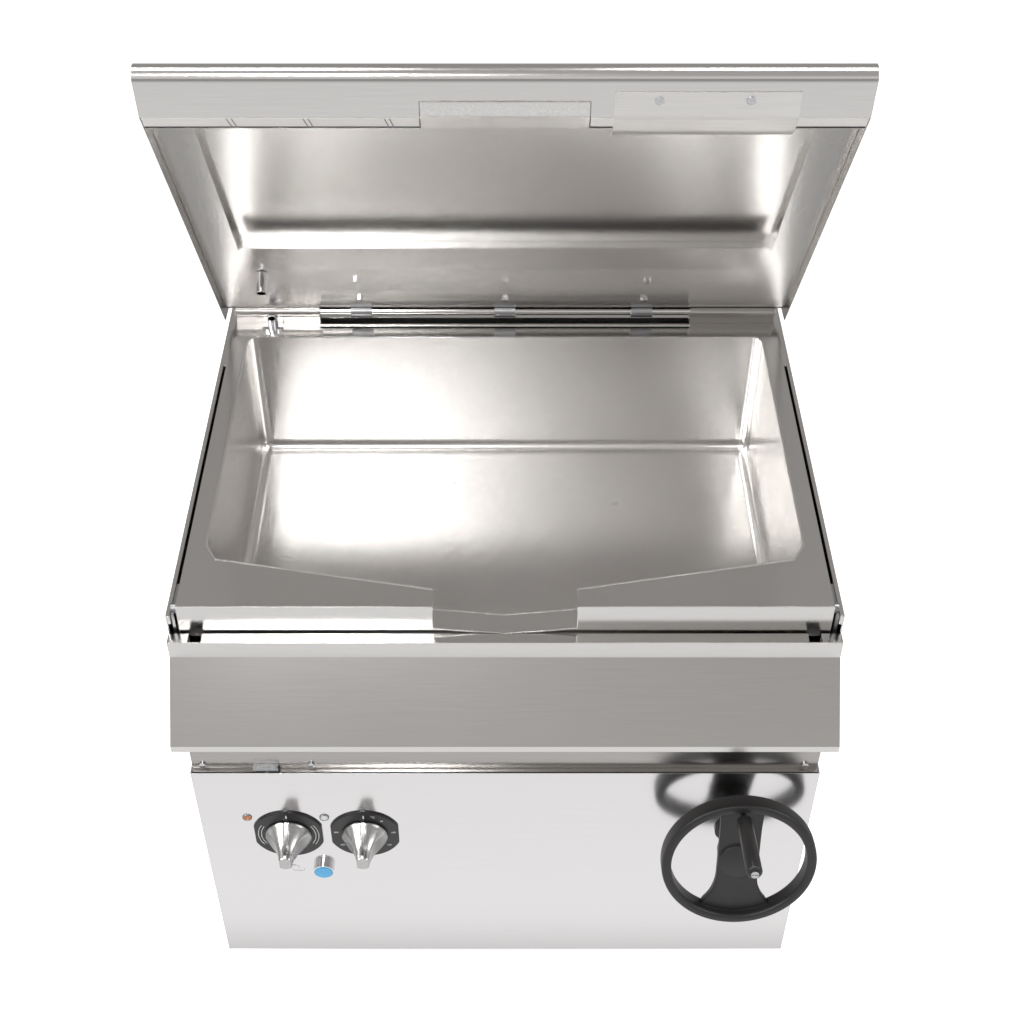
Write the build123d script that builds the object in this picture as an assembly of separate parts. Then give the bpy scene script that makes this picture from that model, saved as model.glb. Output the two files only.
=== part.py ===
from build123d import *
from math import asin, atan2, cos, degrees, hypot, pi, radians, sin, tan
import os

os.makedirs("parts", exist_ok=True)

# Driving dimensions in millimetres. X is across, Y runs front to back and Z is up from the floor.

# Cabinet
CABINET_WIDTH = 800.0
CABINET_DEPTH = 730.0
REAR_Y = 414.0
LEG_HEIGHT = 150.0
SHEET = 1.5
UPSTAND_BELOW_RIM = 14.0
UPSTAND_HEM = 5.0
REAR_POST_HEM = 11.0
REAR_POST_DEPTH = 164.0
REAR_HEM_DROP = 18.0
UPSTAND_FRONT_SETBACK = 87.0
DECK_BELOW_UPSTAND = 2.0
DECK_DEPTH = 46.0
DECK_FOLD = 40.0
GLAND_INSET = 100.0
GLAND_Z = 230.0
GLAND_RADIUS = 12.0
GLAND_BORE = 7.0
GLAND_DEPTH = 12.0
TERMINAL_OFFSET = 70.0
TERMINAL_COUNT = 5
TERMINAL_PITCH = 17.0
TERMINAL_END = 10.0
TERMINAL_SLOT = 10.0
TERMINAL_HEIGHT = 40.0
TERMINAL_DEPTH = 34.0
CONTACTOR_X = -36.0
CONTACTOR_Z = 370.0
CONTACTOR_WIDTH = 48.0
CONTACTOR_HEIGHT = 80.0
CONTACTOR_DEPTH = 62.0
CONTACTOR_COVER = 14.0
LOUVRE_COUNT = 6
LOUVRE_PITCH = 26.0
LOUVRE_LENGTH = 220.0
LOUVRE_SLOT = 9.0
LOUVRE_X = 190.0
LOUVRE_RISE = 320.0

# Fascia above the controls
FASCIA_BELOW_RIM = 42.8
LEDGE_DEPTH = 15.1
LEDGE_RETURN = 26.0
FASCIA_RUN = 70.6
FASCIA_BAND = 25.7
FASCIA_SLOPE_DROP = 80.5
FASCIA_FOOT = 10.0
FASCIA_RETURN = 22.0
FASCIA_SHEET = 2.0
NOTCH_INSET = 27.0
NOTCH_WIDTH = 16.0
NOTCH_DEPTH = 14.0

# Control panel
PANEL_SETBACK = 51.0
PANEL_BOTTOM = 169.0
PANEL_TOP = 583.0
PANEL_SHEET = 2.0
PANEL_RETURN = 29.0
WALL_BELOW_FASCIA = 107.2
APRON_GAP = 6.0
APRON_BOTTOM = 566.0
APRON_BELOW_WALL = 40.0
CLIP_HALF_WIDTH = 16.0
CLIP_HEIGHT = 24.0
CLIPS = ((-304.0, 9.0), (0.0, -4.0), (310.0, -4.0))

# Frame and legs
POST = 30.0
POST_WALL = 3.0
FRONT_POST_CLEARANCE = 1.2
RAIL_HEIGHT = 30.0
LEG_INSET_X = 74.0
FRONT_LEG_SETBACK = 129.0
REAR_LEG_INSET = 66.0
LEG_RADIUS = 24.0
FOOT_RADIUS = 25.0
FOOT_HEIGHT = 14.0
FOOT_SPINDLE_RADIUS = 8.0
FOOT_SHOWN = 30.0

# Pan
RIM_TOP = 850.0
RIM_SHEET = 3.0
RIM_SIDE_GAP = 13.0
PAN_GAP = 3.0
RIM_REAR_BAND = 22.0
TUB_LENGTH = 493.5
RIM_SIDE_BAND = 24.0
TUB_DEPTH = 205.0
TUB_WALL = 3.0
TUB_CORNER = 14.0
FLOOR_RADIUS = 16.0
V_DEPTH = 50.5
V_CORNER_INSET = 13.0
V_CORNER_CUT = 24.0
SPOUT_HALF_WIDTH = 85.5
SPOUT_DROP = 34.5
SPOUT_V = 9.5
SPOUT_REACH = 30.8
SPOUT_SHEET = 2.0
SKIRT_SHEET = 2.0
SKIRT_FRONT_DROP = 50.0
SKIRT_SIDE_DROP = 44.0
SKIRT_REAR_DROP = 30.0
SOLE_THICKNESS = 12.0
SOLE_INSET = 12.0
ELEMENT_RADIUS = 4.2
ELEMENT_COUNT = 6
ELEMENT_PITCH = 100.0
ELEMENT_LEG = 40.0
ELEMENT_LENGTH = 360.0
ELEMENT_REAR_GAP = 30.0
CLAMP_THICKNESS = 2.0
WOOL_THICKNESS = 22.0
CASING_SHEET = 1.2
CASING_GAP = 7.0
CASING_TOP_DROP = 60.0
REST_GAP = 12.0
REST_INSET = 151.0
REST_BUFFER_X = 240.0
REST_BUFFER_RADIUS = 14.0
BEAM_SIZE = 30.0
BEAM_SHEET = 2.0

# Tilting
TILT_BEHIND_SKIRT = 12.3
TILT_BELOW_RIM = 15.0
PLATE = 4.0
TRUNNION_RADIUS = 7.0
TRUNNION_FRONT = 10.0
TRUNNION_REAR = 40.0
TRUNNION_DROP = 110.0
BUSH_WALL = 3.0
BUSH_LENGTH = 24.0
RUNNING_CLEARANCE = 0.05
GEAR_MODULE = 2.0
SECTOR_TEETH = 30
SECTOR_WIDTH = 14.0
WORM_RADIUS = 9.0
WORM_TURNS = 6
WORM_SHAFT_RADIUS = 6.0
BACKLASH = 0.5
SECTOR_TOP = 11.9
SHAFT_END_GAP = 12.0
BRACKET_HALF_WIDTH = 22.0
BRACKET_CLEARANCE = 2.2
BRACKET_FOOT = 60.0
GEARBOX_HALF_WIDTH = 26.0
GEARBOX_FLANGE_HALF = 36.0
GEARBOX_NECK_RADIUS = 20.0
TILT_RANGE = 75.0
TILT_RELIEF = 29.0
RELIEF_HALF_WIDTH = 31.0

# Handwheel
WHEEL_X = 301.0
WHEEL_Z = 476.0
WHEEL_RADIUS = 100.0
WHEEL_STANDOFF = 57.0
WHEEL_TILT = 13.0
RING_WIDTH = 14.0
RING_DEPTH = 24.0
RING_CHAMFER = 4.0
SPOKE_WIDTH = 53.0
SPOKE_TOP_WIDTH = 57.0
SPOKE_FOOT_WIDTH = 86.0
SPOKE_THICKNESS = 11.0
HUB_RADIUS = 27.0
HUB_LENGTH = 31.0
HUB_SKIN = 3.0
WHEEL_SHAFT_RADIUS = 8.0
GRIP_ORBIT = 78.0
GRIP_REACH = 111.0
GRIP_RADIUS = 10.0
GRIP_END_ROUND = 3.0
GRIP_SPINDLE_RADIUS = 4.0
GRIP_END_HEAD = 2.0
FLANGE_RADIUS = 24.0
FLANGE_THICKNESS = 4.0
FLANGE_BOSS_RADIUS = 14.0
FLANGE_BOSS = 12.0

# Controls on the panel
KNOB_X = (-286.6, -185.6)
KNOB_Z = 454.0
BEZEL_RADIUS = 48.0
BEZEL_HALF_WIDTH = 44.7
BEZEL_THICKNESS = 3.0
BEZEL_TAB = 3.0
KNOB_RADIUS = 31.0
KNOB_REACH = 45.0
KNOB_FLANK = ((0.0, 31.0), (3.0, 30.6), (9.0, 24.5), (18.0, 19.0), (30.0, 15.0), (43.0, 12.4), (45.0, 11.4))
KNOB_FIN = ((0.0, 31.2), (3.0, 30.8), (8.0, 20.0), (15.0, 12.0), (26.0, 7.6), (43.5, 5.6), (45.0, 4.6))
KNOB_SHAFT_DEPTH = 12.0
KNOB_SHAFT_RADIUS = 4.0
LAMP_X = (-338.0, -237.0)
LAMP_Z = 489.0
LAMP_RADIUS = 6.5
LAMP_PROUD = 2.2
LAMP_BARREL = 24.0
BUTTON_X = -246.0
BUTTON_Z = 376.0
COLLAR_RADIUS = 14.3
COLLAR_REACH = 9.0
COLLAR_REAR = 6.0
BUTTON_RADIUS = 12.3
BUTTON_TRAVEL = 4.0
BUTTON_STEM_RADIUS = 4.0
BUTTON_STEM = 20.0
SWITCH_SIZE = (44.0, 52.0, 46.0)
THERMOSTAT_SIZE = (38.0, 38.0, 40.0)
VALVE_WIDTH = 36.0
VALVE_HEIGHT = 40.0
VALVE_DEPTH = 44.0
VALVE_INLET = 30.0
CUT_MARGIN = 4.0

# Lid, described closed and then turned up about its hinge to the open rest position
LID_OPEN = 59.8
HINGE_BEHIND_RIM = 20.0
HINGE_ABOVE_RIM = 16.0
LID_GAP = 2.0
LID_LENGTH = 546.0
LID_HEIGHT = 43.0
LID_SHEET = 1.5
NOSE_RADIUS = 13.0
NOSE_REACH = 35.0
LID_REAR_REACH = 18.0
LID_REAR_TURN = 15.0
LINER_RISE = 15.0
LINER_REAR_GAP = 12.0
RECESS_HALF_WIDTH = 350.0
RECESS_RISE = 14.0
RECESS_REAR = 190.0
RECESS_FRONT_BAND = 24.0
LIP_RUN = 15.0
LIP_RISE = 6.0
LINER_SETBACK = 25.0
NOTCH_PLATE_RISE = 8.0
LID_NOTCH_HALF_WIDTH = 93.5
LID_NOTCH_SHARE = 0.5
BAFFLE_REAR = 160.0
BAFFLE_DEPTH = 60.0
BAFFLE_HALF_WIDTH = 344.0
BAFFLE_DROP = 10.0
BAFFLE_FOOT = 8.0
HANDLE_LEFT = 119.0
HANDLE_WIDTH = 202.0
HANDLE_SHEET = 1.2
HANDLE_LIP = 40.0
HANDLE_UP = 33.0
HINGE_TUBE_RADIUS = 6.0
HOUSING_RADIUS = 10.0
HOUSING_INSET = 3.0
HOUSING_LENGTH = 120.0
HOUSING_CHEEK = 8.0
SHELF_DEPTH = 29.0
SHELF_DROP = 3.0
ARM_X = (-205.0, 0.0, 195.0)
ARM_WIDTH = 30.0
ARM_THICKNESS = 8.0
ARM_REACH = 112.0
BOLT_ROWS = (40.0, 100.0)
BOLT_HEAD_RADIUS = 5.0
BOLT_RADIUS = 3.0
NOZZLE_X = -329.0
NOZZLE_ALONG = 123.0
NOZZLE_LENGTH = 30.0
PIPE_RADIUS = 6.0
PIPE_WALL = 1.0
RISER_X = -332.0
RISER_BEHIND_RIM = 3.5
RISER_HEIGHT = 14.5
WASHER_RADIUS = 15.0
WASHER_THICKNESS = 3.0
STOP_ROD_RADIUS = 3.0

# A seat gap between parts that rest on or beside each other, and a gap for parts that pass each other
SEAT = 0.3
PASS = 1.0
SCREW_RADIUS = 2.5
SCREW_HEAD_RADIUS = 4.5
SCREW_HEAD = 2.4
PANEL_SCREW_LEFT_INSET = 16.0
PANEL_SCREW_MIDDLE = -246.0
PANEL_SCREW_RIGHT_INSET = 19.0
PANEL_SCREW_RISE = 7.4
PANEL_SCREW_LENGTH = 8.0

# Places that follow from the dimensions above
HALF = CABINET_WIDTH / 2
RIM_HALF_WIDTH = HALF - RIM_SIDE_GAP
UPSTAND_TOP = RIM_TOP - UPSTAND_BELOW_RIM
DECK_TOP = UPSTAND_TOP - DECK_BELOW_UPSTAND
FASCIA_TOP = RIM_TOP - FASCIA_BELOW_RIM
LEDGE_FOOT = FASCIA_TOP - LEDGE_RETURN
WALL_TOP = FASCIA_TOP - WALL_BELOW_FASCIA
APRON_TOP = WALL_TOP - APRON_BELOW_WALL
FRONT_POST_TOP = LEDGE_FOOT - FRONT_POST_CLEARANCE
BRACKET_TOP = LEDGE_FOOT - BRACKET_CLEARANCE
GLAND_X = GLAND_INSET - HALF
TUB_HALF_WIDTH = RIM_HALF_WIDTH - RIM_SIDE_BAND
V_CORNER_X = TUB_HALF_WIDTH - V_CORNER_INSET
NOTCH_INNER = RIM_HALF_WIDTH - NOTCH_INSET
HOUSING_OUTER = RIM_HALF_WIDTH - HOUSING_INSET
HOUSING_INNER = HOUSING_OUTER - HOUSING_LENGTH
BUSH_END = RIM_HALF_WIDTH - SKIRT_SHEET - BUSH_LENGTH
PANEL_SCREW_X = (PANEL_SCREW_LEFT_INSET - HALF, PANEL_SCREW_MIDDLE, HALF - PANEL_SCREW_RIGHT_INSET)
FASCIA_Y = REAR_Y - CABINET_DEPTH
LEDGE_FRONT = FASCIA_Y + FASCIA_RUN
LEDGE_BACK = LEDGE_FRONT + LEDGE_DEPTH
PANEL_Y = FASCIA_Y + PANEL_SETBACK
WALL_Y = PANEL_Y + PANEL_SHEET + PANEL_RETURN
FRAME_Y = WALL_Y + SHEET
REAR_IN = REAR_Y - SHEET
SIDE_IN = HALF - SHEET
RIM_FRONT = LEDGE_BACK + PAN_GAP
TUB_REAR = RIM_FRONT + SPOUT_REACH + TUB_LENGTH
RIM_REAR = TUB_REAR + RIM_REAR_BAND
TUB_FRONT = TUB_REAR - TUB_LENGTH
FLOOR_TOP = RIM_TOP - TUB_DEPTH
FLOOR_BOTTOM = FLOOR_TOP - TUB_WALL
SOLE_BOTTOM = FLOOR_BOTTOM - SOLE_THICKNESS
ELEMENT_Z = SOLE_BOTTOM - ELEMENT_RADIUS
CLAMP_TOP = ELEMENT_Z - ELEMENT_RADIUS
WOOL_TOP = CLAMP_TOP - CLAMP_THICKNESS
CASING_IN = WOOL_TOP - WOOL_THICKNESS
REST_TOP = CASING_IN - CASING_SHEET - REST_GAP
REST_Y = REAR_Y - REST_INSET
TILT_Y = RIM_FRONT + TILT_BEHIND_SKIRT
TILT_Z = RIM_TOP - TILT_BELOW_RIM
SECTOR_RADIUS = GEAR_MODULE * SECTOR_TEETH / 2
WORM_Y = TILT_Y + SECTOR_RADIUS + WORM_RADIUS
WHEEL_Y = PANEL_Y - WHEEL_STANDOFF
GEAR_Z = WHEEL_Z - (WORM_Y - WHEEL_Y) * tan(radians(WHEEL_TILT))
WHEEL_SHAFT_END = (WORM_Y - WHEEL_Y) / cos(radians(WHEEL_TILT)) - SHAFT_END_GAP
HINGE_Y = RIM_REAR + HINGE_BEHIND_RIM
HINGE_Z = RIM_TOP + HINGE_ABOVE_RIM
LID_BOTTOM = RIM_TOP + LID_GAP
LID_TOP = LID_BOTTOM + LID_HEIGHT
LID_FRONT = HINGE_Y - LID_LENGTH
LINER_Z = LID_BOTTOM + LINER_RISE
REAR_POST_TOP = UPSTAND_TOP - REAR_HEM_DROP - SEAT
PANEL_SCREW_Z = PANEL_TOP + PANEL_SCREW_RISE
APRON_Y = PANEL_Y + PANEL_SHEET + APRON_GAP
END_BACK = FASCIA_Y + UPSTAND_FRONT_SETBACK - SEAT


def block(x0, x1, y0, y1, z0, z1):
    """A box between two corners."""
    return Pos((x0 + x1) / 2, (y0 + y1) / 2, (z0 + z1) / 2) * Box(x1 - x0, y1 - y0, z1 - z0)


def rod(start, axis, radius, length):
    """A cylinder that starts at a point and runs along an axis."""
    return Plane(origin=start, z_dir=axis) * Cylinder(
        radius, length, align=(Align.CENTER, Align.CENTER, Align.MIN))


def tube(start, axis, radius, bore, length):
    """A straight tube with an open bore."""
    return rod(start, axis, radius, length) - rod(start, axis, bore, length)


def section_x(points, x0, x1):
    """A closed outline in Y and Z, extruded from x0 to x1."""
    face = Plane.YZ.offset(x0) * make_face(Polyline(*points, close=True))
    return extrude(face, amount=x1 - x0)


def thick_line(points, thickness):
    """The closed outline of a folded sheet whose left side follows the points."""
    normals = []
    for (ax, ay), (bx, by) in zip(points, points[1:]):
        run = hypot(bx - ax, by - ay)
        normals.append(((by - ay) / run, (ax - bx) / run))
    far = []
    for index, (px, py) in enumerate(points):
        before = normals[max(index - 1, 0)]
        after = normals[min(index, len(normals) - 1)]
        mx, my = before[0] + after[0], before[1] + after[1]
        scale = thickness / ((mx * after[0] + my * after[1]))
        far.append((px + mx * scale, py + my * scale))
    return list(points) + far[::-1]


def folded_x(points, thickness, x0, x1):
    """A sheet folded along X."""
    return section_x(thick_line(points, thickness), x0, x1)


def both_sides(shape):
    """The shape and its mirror image across the centre plane."""
    return [shape, mirror(shape, about=Plane.YZ)]


def opened(shape):
    """Turns a lid piece from closed to its open rest position."""
    hinge = Axis((0, HINGE_Y, HINGE_Z), (1, 0, 0))
    return shape.rotate(hinge, -LID_OPEN)


def on_wheel_axis(shape):
    """Turns a piece built about a level axis through the wheel's centre to the wheel's slope."""
    return shape.rotate(Axis((0, WHEEL_Y, WHEEL_Z), (1, 0, 0)), -WHEEL_TILT)


def wheel_bore(radius, length):
    """A round bore that follows the sloping handwheel shaft."""
    return on_wheel_axis(rod((WHEEL_X, WHEEL_Y, WHEEL_Z), (0, 1, 0), radius, length))


def save(name, *shapes):
    """Writes one node; several shapes stay separate solids."""
    shape = shapes[0] if len(shapes) == 1 else Compound(children=[s.solid() for s in shapes])
    export_step(shape, f"parts/{name}.step")


def screw_y(x, y, z, length, head_radius=SCREW_HEAD_RADIUS, radius=SCREW_RADIUS):
    """A pan-head screw driven backwards from a front face."""
    head = rod((x, y, z), (0, -1, 0), head_radius, SCREW_HEAD)
    slot = block(x - head_radius, x + head_radius, y - SCREW_HEAD, y - SCREW_HEAD / 2, z - 0.5, z + 0.5)
    return head - slot + rod((x, y, z), (0, 1, 0), radius, length)


# Frame, base and legs

def leg_places():
    front = PANEL_Y + FRONT_LEG_SETBACK
    rear = REAR_Y - REAR_LEG_INSET
    return [(side * (HALF - LEG_INSET_X), y) for side in (-1, 1) for y in (front, rear)]


def base_frame():
    """Four angle posts joined by a ring of rails on the base."""
    x_out = SIDE_IN - SEAT
    z0 = LEG_HEIGHT + SHEET
    front, rear = FRAME_Y, REAR_IN - SEAT
    frame = None
    for side in (-1, 1):
        for y_edge, inward, top in ((front, 1, FRONT_POST_TOP), (rear, -1, REAR_POST_TOP)):
            xs = sorted((side * x_out, side * (x_out - POST)))
            ys = sorted((y_edge, y_edge + inward * POST))
            post = block(*xs, *ys, z0, top)
            xi = sorted((side * (x_out - POST_WALL), side * (x_out - POST)))
            yi = sorted((y_edge + inward * POST_WALL, y_edge + inward * POST))
            post -= block(*xi, *yi, z0, top)
            frame = post if frame is None else frame + post
    ring = block(-x_out, x_out, front, rear, z0, z0 + RAIL_HEIGHT)
    ring -= block(-x_out + POST_WALL, x_out - POST_WALL, front + POST_WALL, rear - POST_WALL,
                  z0, z0 + RAIL_HEIGHT)
    return frame + ring


def bottom_plate():
    plate = block(-SIDE_IN, SIDE_IN, WALL_Y, REAR_IN, LEG_HEIGHT, LEG_HEIGHT + SHEET)
    for x, y in leg_places():
        plate -= rod((x, y, LEG_HEIGHT), (0, 0, 1), FOOT_SPINDLE_RADIUS + PASS, SHEET)
    return plate


def legs():
    sleeves, feet = [], []
    for x, y in leg_places():
        sleeve = rod((x, y, FOOT_SHOWN), (0, 0, 1), LEG_RADIUS, LEG_HEIGHT - FOOT_SHOWN)
        sleeve -= rod((x, y, FOOT_SHOWN), (0, 0, 1), FOOT_SPINDLE_RADIUS, LEG_HEIGHT - FOOT_SHOWN)
        sleeves.append(sleeve)
        foot = rod((x, y, 0), (0, 0, 1), FOOT_RADIUS, FOOT_HEIGHT)
        foot = chamfer(foot.edges().group_by(Axis.Z)[-1], 3)
        foot += rod((x, y, FOOT_HEIGHT), (0, 0, 1), FOOT_SPINDLE_RADIUS, LEG_HEIGHT - 2 * FOOT_HEIGHT)
        feet.append(foot)
    return sleeves, feet


# Cabinet skins

def side_panel():
    """The right-hand side sheet with its hemmed upstand and the thicker rear post."""
    front = FASCIA_Y + UPSTAND_FRONT_SETBACK
    panel = block(SIDE_IN, HALF, front, REAR_Y, LEG_HEIGHT, UPSTAND_TOP)
    hem = block(HALF - UPSTAND_HEM, HALF, front, REAR_Y, UPSTAND_TOP - 14, UPSTAND_TOP)
    post = block(HALF - REAR_POST_HEM, HALF, REAR_Y - REAR_POST_DEPTH, REAR_IN - SEAT,
                 UPSTAND_TOP - REAR_HEM_DROP, UPSTAND_TOP)
    shape = panel + hem + post
    # The rear end stops short of the sheet that closes the back.
    shape -= block(SIDE_IN - 20, HALF - SHEET, REAR_IN - SEAT, REAR_Y, LEG_HEIGHT, UPSTAND_TOP)
    return shape


def rear_panel():
    panel = block(-SIDE_IN + SEAT, SIDE_IN - SEAT, REAR_IN, REAR_Y, LEG_HEIGHT, DECK_TOP)
    for row in range(LOUVRE_COUNT):
        z = LEG_HEIGHT + LOUVRE_RISE + row * LOUVRE_PITCH
        for side in (-1, 1):
            x = side * LOUVRE_X
            panel -= block(x - LOUVRE_LENGTH / 2, x + LOUVRE_LENGTH / 2, REAR_IN, REAR_Y,
                           z, z + LOUVRE_SLOT)
    panel -= rod((GLAND_X, REAR_IN, GLAND_Z), (0, 1, 0), GLAND_RADIUS, SHEET)
    return panel


def rear_deck():
    """The top cover behind the pan, folded down at its front edge."""
    y0 = REAR_IN - DECK_DEPTH
    half = HALF - REAR_POST_HEM - SEAT
    points = [(y0, DECK_TOP - DECK_FOLD), (y0, DECK_TOP), (REAR_IN - SEAT, DECK_TOP)]
    return folded_x(points, SHEET, -half, half)


def front_fascia():
    """The ledge, band, sloped face and return of the fascia, with closed ends."""
    slope_top = FASCIA_TOP - FASCIA_BAND
    slope_foot = slope_top - FASCIA_SLOPE_DROP
    bottom = slope_foot - FASCIA_FOOT
    points = [
        (LEDGE_BACK, LEDGE_FOOT), (LEDGE_BACK, FASCIA_TOP), (LEDGE_FRONT, FASCIA_TOP),
        (LEDGE_FRONT, slope_top), (FASCIA_Y, slope_foot), (FASCIA_Y, bottom),
        (FASCIA_Y + FASCIA_RETURN, bottom)]
    inward = [(y, z) for y, z in reversed(points)]
    sheet = folded_x(inward, FASCIA_SHEET, -HALF, HALF)
    outline = [(LEDGE_BACK, FASCIA_TOP), (LEDGE_FRONT, FASCIA_TOP), (LEDGE_FRONT, slope_top),
               (FASCIA_Y, slope_foot), (FASCIA_Y, bottom), (END_BACK, bottom), (END_BACK, slope_top),
               (LEDGE_BACK, slope_top)]
    for side in (-1, 1):
        ends = sorted((side * HALF, side * (HALF - SHEET)))
        sheet += section_x(outline, *ends)
    for side in (-1, 1):
        xs = sorted((side * NOTCH_INNER, side * (NOTCH_INNER + NOTCH_WIDTH)))
        sheet -= block(*xs, LEDGE_BACK - NOTCH_DEPTH, LEDGE_BACK, LEDGE_FOOT, FASCIA_TOP)
    return sheet


def front_wall():
    """The inner upright behind the control panel, with the folded apron that shows above it."""
    half = HALF - FASCIA_SHEET - SEAT
    wall = block(-half, half, WALL_Y, FRAME_Y, LEG_HEIGHT + SHEET, WALL_TOP)
    wall += block(-half, half, WALL_Y - 12, WALL_Y, WALL_TOP - SHEET, WALL_TOP)
    apron = [(WALL_Y, APRON_BOTTOM), (APRON_Y, APRON_BOTTOM), (APRON_Y, APRON_TOP), (WALL_Y, APRON_TOP)]
    wall += folded_x(apron, SHEET, -half, half)
    cut_outs = (
        (KNOB_X[0], KNOB_Z, SWITCH_SIZE[0], SWITCH_SIZE[1]),
        (KNOB_X[1], KNOB_Z, THERMOSTAT_SIZE[0], THERMOSTAT_SIZE[1]),
        (BUTTON_X, BUTTON_Z - VALVE_INLET / 2, VALVE_WIDTH, VALVE_HEIGHT + VALVE_INLET))
    for x, z, width, height in cut_outs:
        half_x, half_z = width / 2 + CUT_MARGIN, height / 2 + CUT_MARGIN
        wall -= block(x - half_x, x + half_x, WALL_Y, FRAME_Y, z - half_z, z + half_z)
    for x in PANEL_SCREW_X:
        wall -= rod((x, APRON_Y, PANEL_SCREW_Z), (0, 1, 0), SCREW_RADIUS, SHEET)
    return wall - wheel_bore(WHEEL_SHAFT_RADIUS + PASS, WHEEL_SHAFT_END)


def control_panel():
    """A shallow tray whose open side faces back and whose top is open."""
    y1 = PANEL_Y + PANEL_SHEET + PANEL_RETURN - SEAT
    panel = block(-HALF, HALF, PANEL_Y, y1, PANEL_BOTTOM, PANEL_TOP)
    panel -= block(-HALF + PANEL_SHEET, HALF - PANEL_SHEET, PANEL_Y + PANEL_SHEET, y1,
                   PANEL_BOTTOM + PANEL_SHEET, PANEL_TOP)
    for x in KNOB_X:
        panel -= rod((x, PANEL_Y, KNOB_Z), (0, 1, 0), KNOB_SHAFT_RADIUS + PASS, PANEL_SHEET)
    for x in LAMP_X:
        panel -= rod((x, PANEL_Y, LAMP_Z), (0, 1, 0), LAMP_RADIUS - PASS, PANEL_SHEET)
    panel -= rod((BUTTON_X, PANEL_Y, BUTTON_Z), (0, 1, 0), COLLAR_RADIUS - 2 * PASS, PANEL_SHEET)
    return panel - wheel_bore(WHEEL_SHAFT_RADIUS + 3 * PASS, WHEEL_SHAFT_END)


def wall_clips():
    """Channel clips between the back of the control panel and the apron."""
    clips = []
    back = PANEL_Y + PANEL_SHEET
    for x, rise in CLIPS:
        top = PANEL_TOP + rise
        low = top - CLIP_HEIGHT
        points = [(back, low), (back, top), (APRON_Y, top), (APRON_Y, low)]
        clips.append(folded_x(points, SHEET, x - CLIP_HALF_WIDTH, x + CLIP_HALF_WIDTH))
    return clips


# Pan

def tub_outline(grow=0.0):
    """The plan of the tub: square at the back, V-shaped at the front, grown by a wall."""
    x1 = TUB_HALF_WIDTH + grow
    rear = TUB_REAR + grow
    slope = V_DEPTH / (V_CORNER_X - SPOUT_HALF_WIDTH)
    lift = grow * (hypot(1, slope))
    corner_y = TUB_FRONT + V_DEPTH - lift
    front_y = TUB_FRONT - grow
    flat_x = SPOUT_HALF_WIDTH + (lift - grow) / slope if grow else SPOUT_HALF_WIDTH
    corner_x = V_CORNER_X + grow * 0.5
    right = [(flat_x, front_y), (corner_x, corner_y), (x1, corner_y + V_CORNER_CUT), (x1, rear)]
    left = [(-x, y) for x, y in reversed(right)]
    face = make_face(Polyline(*(right + left), close=True))
    rear_corners = face.vertices().group_by(Axis.Y)[-1]
    return fillet(rear_corners, TUB_CORNER + grow)


def spout_void():
    """The wedge that the pouring channel opens through the front of the tub and rim."""
    y0 = RIM_FRONT - 20
    y1 = TUB_FRONT + 6
    lip = RIM_TOP - SPOUT_DROP
    points = [(-SPOUT_HALF_WIDTH, RIM_TOP + 10), (-SPOUT_HALF_WIDTH, lip), (0, lip - SPOUT_V),
              (SPOUT_HALF_WIDTH, lip), (SPOUT_HALF_WIDTH, RIM_TOP + 10)]
    face = Plane.XZ.offset(-y0) * make_face(Polyline(*points, close=True))
    return extrude(face, amount=-(y1 - y0))


def pan_tub():
    """The cooking vessel: vertical walls, a rounded foot and a flat floor."""
    outer = Pos(0, 0, FLOOR_BOTTOM) * extrude(tub_outline(TUB_WALL), amount=RIM_TOP - FLOOR_BOTTOM)
    inner = Pos(0, 0, FLOOR_TOP) * extrude(tub_outline(), amount=TUB_DEPTH)
    inner = fillet(inner.faces().sort_by(Axis.Z)[0].edges(), FLOOR_RADIUS)
    return outer - inner - spout_void()


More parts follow.
